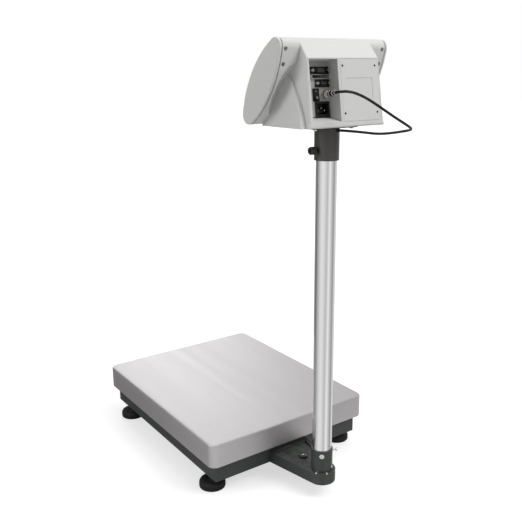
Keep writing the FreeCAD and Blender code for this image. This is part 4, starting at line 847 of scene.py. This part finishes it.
def makeLevel():
    x, y = level["centre"]
    seat = Matrix.Translation(Vector((x, y, 0)) * mm)
    rim = turned([(radius * mm, height * mm) for radius, height in level["rim"]], 56)
    finishPiece(rim, "level_rim", "level_brass", "base", seat, ["bubble_level_body"])
    vial = turned([(radius * mm, height * mm) for radius, height in level["vial"]], 48)
    finishPiece(vial, "level_vial", "level_clear", "base", seat, ["bubble_level_lens"])
    bubble = start("uv_sphere", segments=32, ring_count=16, radius=level["bubble"] * mm,
                   location=Vector((*level["bubbleSpot"], level["top"] + 0.15)) * mm, scale=(1, 1, 0.28))
    pickFaces(bubble, lambda middle, normal: normal.z < -0.2)
    bpy.ops.transform.resize(value=(1, 1, 0.4))
    bpy.ops.object.mode_set(mode="OBJECT")
    finishPiece(bubble, "level_bubble", "key_plastic", "base", seat)
    ring = start("torus", major_radius=level["ring"] * mm, minor_radius=level["ringWire"] * mm,
                 major_segments=48, minor_segments=8, location=(0, 0, level["top"] * mm))
    bpy.ops.mesh.select_all(action="SELECT")
    bpy.ops.transform.resize(value=(1, 1, 0.6))
    bpy.ops.object.mode_set(mode="OBJECT")
    finishPiece(ring, "level_ring", "level_brass", "base", seat)


makeLevel()


# ---- load cell: a cleaned, smooth-shaded copy of the CAD bar takes its place as one rigid piece, tied to no body (on the scale its front end is fixed to the frame, and its rear end sinks with the platter)
def makeLoadCell():
    source = frame["nodes"]["load_cell"]
    cell = bpy.data.objects.new("load_cell_bar", source.data.copy())
    bpy.context.scene.collection.objects.link(cell)
    deselectAll()
    cell.select_set(True)
    bpy.context.view_layer.objects.active = cell
    bpy.ops.object.mode_set(mode="EDIT")
    bpy.ops.mesh.select_all(action="SELECT")
    bpy.ops.mesh.remove_doubles(threshold=1e-6)
    bpy.ops.mesh.normals_make_consistent(inside=False)
    bpy.ops.object.mode_set(mode="OBJECT")
    bpy.ops.object.shade_smooth_by_angle(angle=math.radians(35))
    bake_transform(cell)
    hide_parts("load_cell")


makeLoadCell()

# ---- face of the display: digits behind the window and marks on the keys
face = {"lean": 35.34, "centre": (343.66, 711.11), "displayDepth": 166.55, "digitHeight": 20,
        "digitWidth": 11, "stroke": 2.2, "digitRise": 29, "digitPitch": 17,
        "shown": (None, None, "0", "0", "0"),
        "dots": ((8.5, -10), (-45, 4), (-45, -6)), "keyRadius": 176.06, "keyPitch": 36, "keyDrop": 28}
segments = {"top": (0, 1, False), "middle": (0, 0, False), "low": (0, -1, False), "leftTop": (-1, 0.5, True),
            "rightTop": (1, 0.5, True), "leftLow": (-1, -0.5, True), "rightLow": (1, -0.5, True)}
digitParts = {"0": ("top", "low", "leftTop", "rightTop", "leftLow", "rightLow")}


def makeBar(length):
    stroke = face["stroke"]
    bar = boxShape((-length / 2, -0.1, -stroke / 2), (length / 2, 0.1, stroke / 2))
    pickEdges(bar, lambda middle, way: abs(way.y) > 0.9)
    bpy.ops.mesh.bevel(offset=stroke * 0.48 * mm, segments=1)
    bpy.ops.object.mode_set(mode="OBJECT")
    return bar


def makeDisplay():
    frontFrame = Matrix.Translation(Vector((0, *face["centre"])) * mm) @ Matrix.Rotation(
        -math.radians(face["lean"]), 4, "X")
    half, wide = face["digitHeight"] / 2, face["digitWidth"] / 2
    bar = makeBar(half - 0.6)
    copies = []
    for i, digit in enumerate(face["shown"]):
        digitX = (i - 2) * face["digitPitch"]
        for part in digitParts.get(digit, ()):
            across, up, upright = segments[part]
            turn = Matrix.Rotation(quarter, 4, "Y") if upright else Matrix.Identity(4)
            shift = Matrix.Translation(Vector((digitX + across * wide, -face["displayDepth"],
                                               face["digitRise"] + up * half)) * mm)
            copies.append(placedCopy(bar, shift @ turn))
    for x, z in face["dots"]:
        dot = Matrix.Translation(Vector((x, -face["displayDepth"], face["digitRise"] + z)) * mm)
        copies.append(placedCopy(bar, dot @ Matrix.Diagonal((0.26, 1, 1, 1))))
    bpy.data.objects.remove(bar)
    finishPiece(joined(copies), "display_digits", "black_plastic", "head", frontFrame)
    for i in range(5):
        tilt = Matrix.Rotation(math.asin(face["keyDrop"] / face["keyRadius"]), 4, "X")
        spot = Vector(((i - 2) * face["keyPitch"], -face["keyRadius"], 0))
        seat = frontFrame @ tilt @ Matrix.Translation(spot * mm)
        if i % 2:
            mark = start("torus", major_radius=2.6 * mm, minor_radius=0.3 * mm, major_segments=36,
                         minor_segments=8, rotation=(quarter, 0, 0))
            bpy.ops.mesh.select_all(action="SELECT")
            bpy.ops.transform.resize(value=(1, 0.5, 1))
        else:
            mark = start("cylinder", vertices=3, radius=2.8 * mm, depth=0.25 * mm,
                         rotation=(quarter, 0, 0))
            pickFaces(mark, lambda middle, normal: normal.y < -0.9)
            bpy.ops.mesh.inset(thickness=0.5 * mm)
            extrude(y=0.15 * mm)
        bpy.ops.object.mode_set(mode="OBJECT")
        finishPiece(mark, "key_%d_mark" % (i + 1), "panel_film", "key_%d" % (i + 1), seat)


makeDisplay()
print("level and display made")


# ---- lights and floor
def addArea(name, spot, target, side, power, glossy):
    light = bpy.data.lights.new(name, "AREA")
    light.shape = "SQUARE"
    light.size = side
    light.energy = power
    lamp = bpy.data.objects.new(name, light)
    spot, target = Vector(spot), Vector(target)
    aim = (target - spot).to_track_quat("-Z", "Y").to_matrix().to_4x4()
    lamp.matrix_world = Matrix.Translation(spot) @ aim
    lamp.visible_glossy = glossy
    bpy.context.scene.collection.objects.link(lamp)


studio = {"key": ((-1.3, 2.2, 2.8), 1.6, 66),
          "side": ((2.8, -0.3, 1.6), 1.5, 27),
          "top": ((-0.1, 0.2, 3.0), 2.2, 24),
          "front": ((-0.8, -2.6, 1.6), 1.8, 20), "fill": 0.22, "glossGain": 1.35}
for name in ("key", "side", "top", "front"):
    spot, side, power = studio[name]
    addArea(name + "Light", spot, (0, 0.1, 0.45), side, power, name != "key")

# brightness of the room round the scale, as polished surfaces see it: (bearing in degrees, brightness)
roomBands = ((-167, 0.6), (-130, 0.45), (-67, 0.12), (-40, 0.28), (-4, 0.62), (20, 0.72), (44, 0.62),
             (67, 0.42), (91, 0.8), (116, 0.5), (147, 0.26), (170, 0.6))


def makeRoomBands():
    group, given, made = newGroup(
        "roomBands", [("Direction", "Vector", (1, 0, 0))], [("Brightness", "Float")])
    parts = addNode(group, "SeparateXYZ")
    bearing = addNode(group, "Math", operation="ARCTAN2")
    turn = addNode(group, "MapRange", {"From Min": -math.pi, "From Max": math.pi})
    ramp = addNode(group, "ValToRGB")
    stops = ramp.color_ramp.elements
    while len(stops) < len(roomBands):
        stops.new(1)
    for stop, (degrees, brightness) in zip(stops, roomBands):
        stop.position = (degrees + 180) / 360
        stop.color = (brightness, brightness, brightness, 1)
    group.links.new(given.outputs["Direction"], parts.inputs[0])
    group.links.new(parts.outputs["Y"], bearing.inputs[0])
    group.links.new(parts.outputs["X"], bearing.inputs[1])
    group.links.new(bearing.outputs[0], turn.inputs["Value"])
    group.links.new(turn.outputs[0], ramp.inputs["Fac"])
    group.links.new(ramp.outputs["Color"], made.inputs["Brightness"])
    return group


roomGroup = makeRoomBands()


def placeRoomBands(tree, source):
    node = tree.nodes.new("ShaderNodeGroup")
    node.node_tree = roomGroup
    tree.links.new(source, node.inputs["Direction"])
    gain = addNode(tree, "Math", {1: studio["glossGain"]}, operation="MULTIPLY")
    tree.links.new(node.outputs["Brightness"], gain.inputs[0])
    return gain.outputs[0]


def makeWorld():
    world = bpy.data.worlds.new("studioWorld")
    world.use_nodes = True
    tree = world.node_tree
    glow = tree.nodes["Background"]
    glow.inputs["Color"].default_value = (1, 1, 1, 1)
    rays = addNode(tree, "LightPath")
    place = addNode(tree, "TexCoord")
    gloss = addNode(tree, "Mix", {2: studio["fill"]}, data_type="FLOAT")
    seen = addNode(tree, "Mix", {3: 1}, data_type="FLOAT")
    tree.links.new(rays.outputs["Is Glossy Ray"], gloss.inputs[0])
    tree.links.new(placeRoomBands(tree, place.outputs["Generated"]), gloss.inputs[3])
    tree.links.new(rays.outputs["Is Camera Ray"], seen.inputs[0])
    tree.links.new(gloss.outputs[0], seen.inputs[2])
    tree.links.new(seen.outputs[0], glow.inputs["Strength"])
    bpy.context.scene.world = world


makeWorld()
bpy.context.scene.view_settings.view_transform = "Standard"

floorSizes = {"side": 30, "nearEdge": 1.2, "farEdge": 3.0, "nearGlow": 0.62}


def makeFloor():
    bpy.ops.mesh.primitive_plane_add(size=floorSizes["side"], location=(0, 0, 0))
    floor = bpy.context.object
    floor.name = "floor"
    material = makeFinish("floorPaper", {
        "color": (0.55, 0.55, 0.55), "tone": (6, 0.02), "rough": (0.7, 0.9), "relief": (120, 2e-4, 0.1),
        "edge": 1e-4, "worn": ((0.55, 0.55, 0.55), 0), "dust": 0.0})
    floor.data.materials.append(material)
    tree = material.node_tree
    link = tree.links.new
    shader = tree.nodes["Principled BSDF"]
    output = tree.nodes["Material Output"]
    rays = addNode(tree, "LightPath")
    place = addNode(tree, "TexCoord")
    distance = addNode(tree, "VectorMath", operation="LENGTH")
    fade = addNode(tree, "MapRange", {"From Min": floorSizes["nearEdge"], "From Max": floorSizes["farEdge"],
                                      "To Min": floorSizes["nearGlow"], "To Max": 1.05})
    glow = addNode(tree, "Math", operation="MULTIPLY")
    aroundColumn = addNode(tree, "VectorMath", {1: (0, cable["columnY"] * mm, 0)}, operation="SUBTRACT")
    mirrored = addNode(tree, "Emission")
    either = addNode(tree, "MixShader")
    shader.inputs["Emission Color"].default_value = (1, 1, 1, 1)
    link(place.outputs["Object"], distance.inputs[0])
    link(distance.outputs["Value"], fade.inputs["Value"])
    link(fade.outputs[0], glow.inputs[0])
    link(rays.outputs["Is Camera Ray"], glow.inputs[1])
    link(glow.outputs[0], shader.inputs["Emission Strength"])
    link(place.outputs["Object"], aroundColumn.inputs[0])
    link(placeRoomBands(tree, aroundColumn.outputs[0]), mirrored.inputs["Strength"])
    link(rays.outputs["Is Glossy Ray"], either.inputs["Fac"])
    link(shader.outputs[0], either.inputs[1])
    link(mirrored.outputs[0], either.inputs[2])
    link(either.outputs[0], output.inputs["Surface"])
    return floor


floor = makeFloor()
print("studio set")
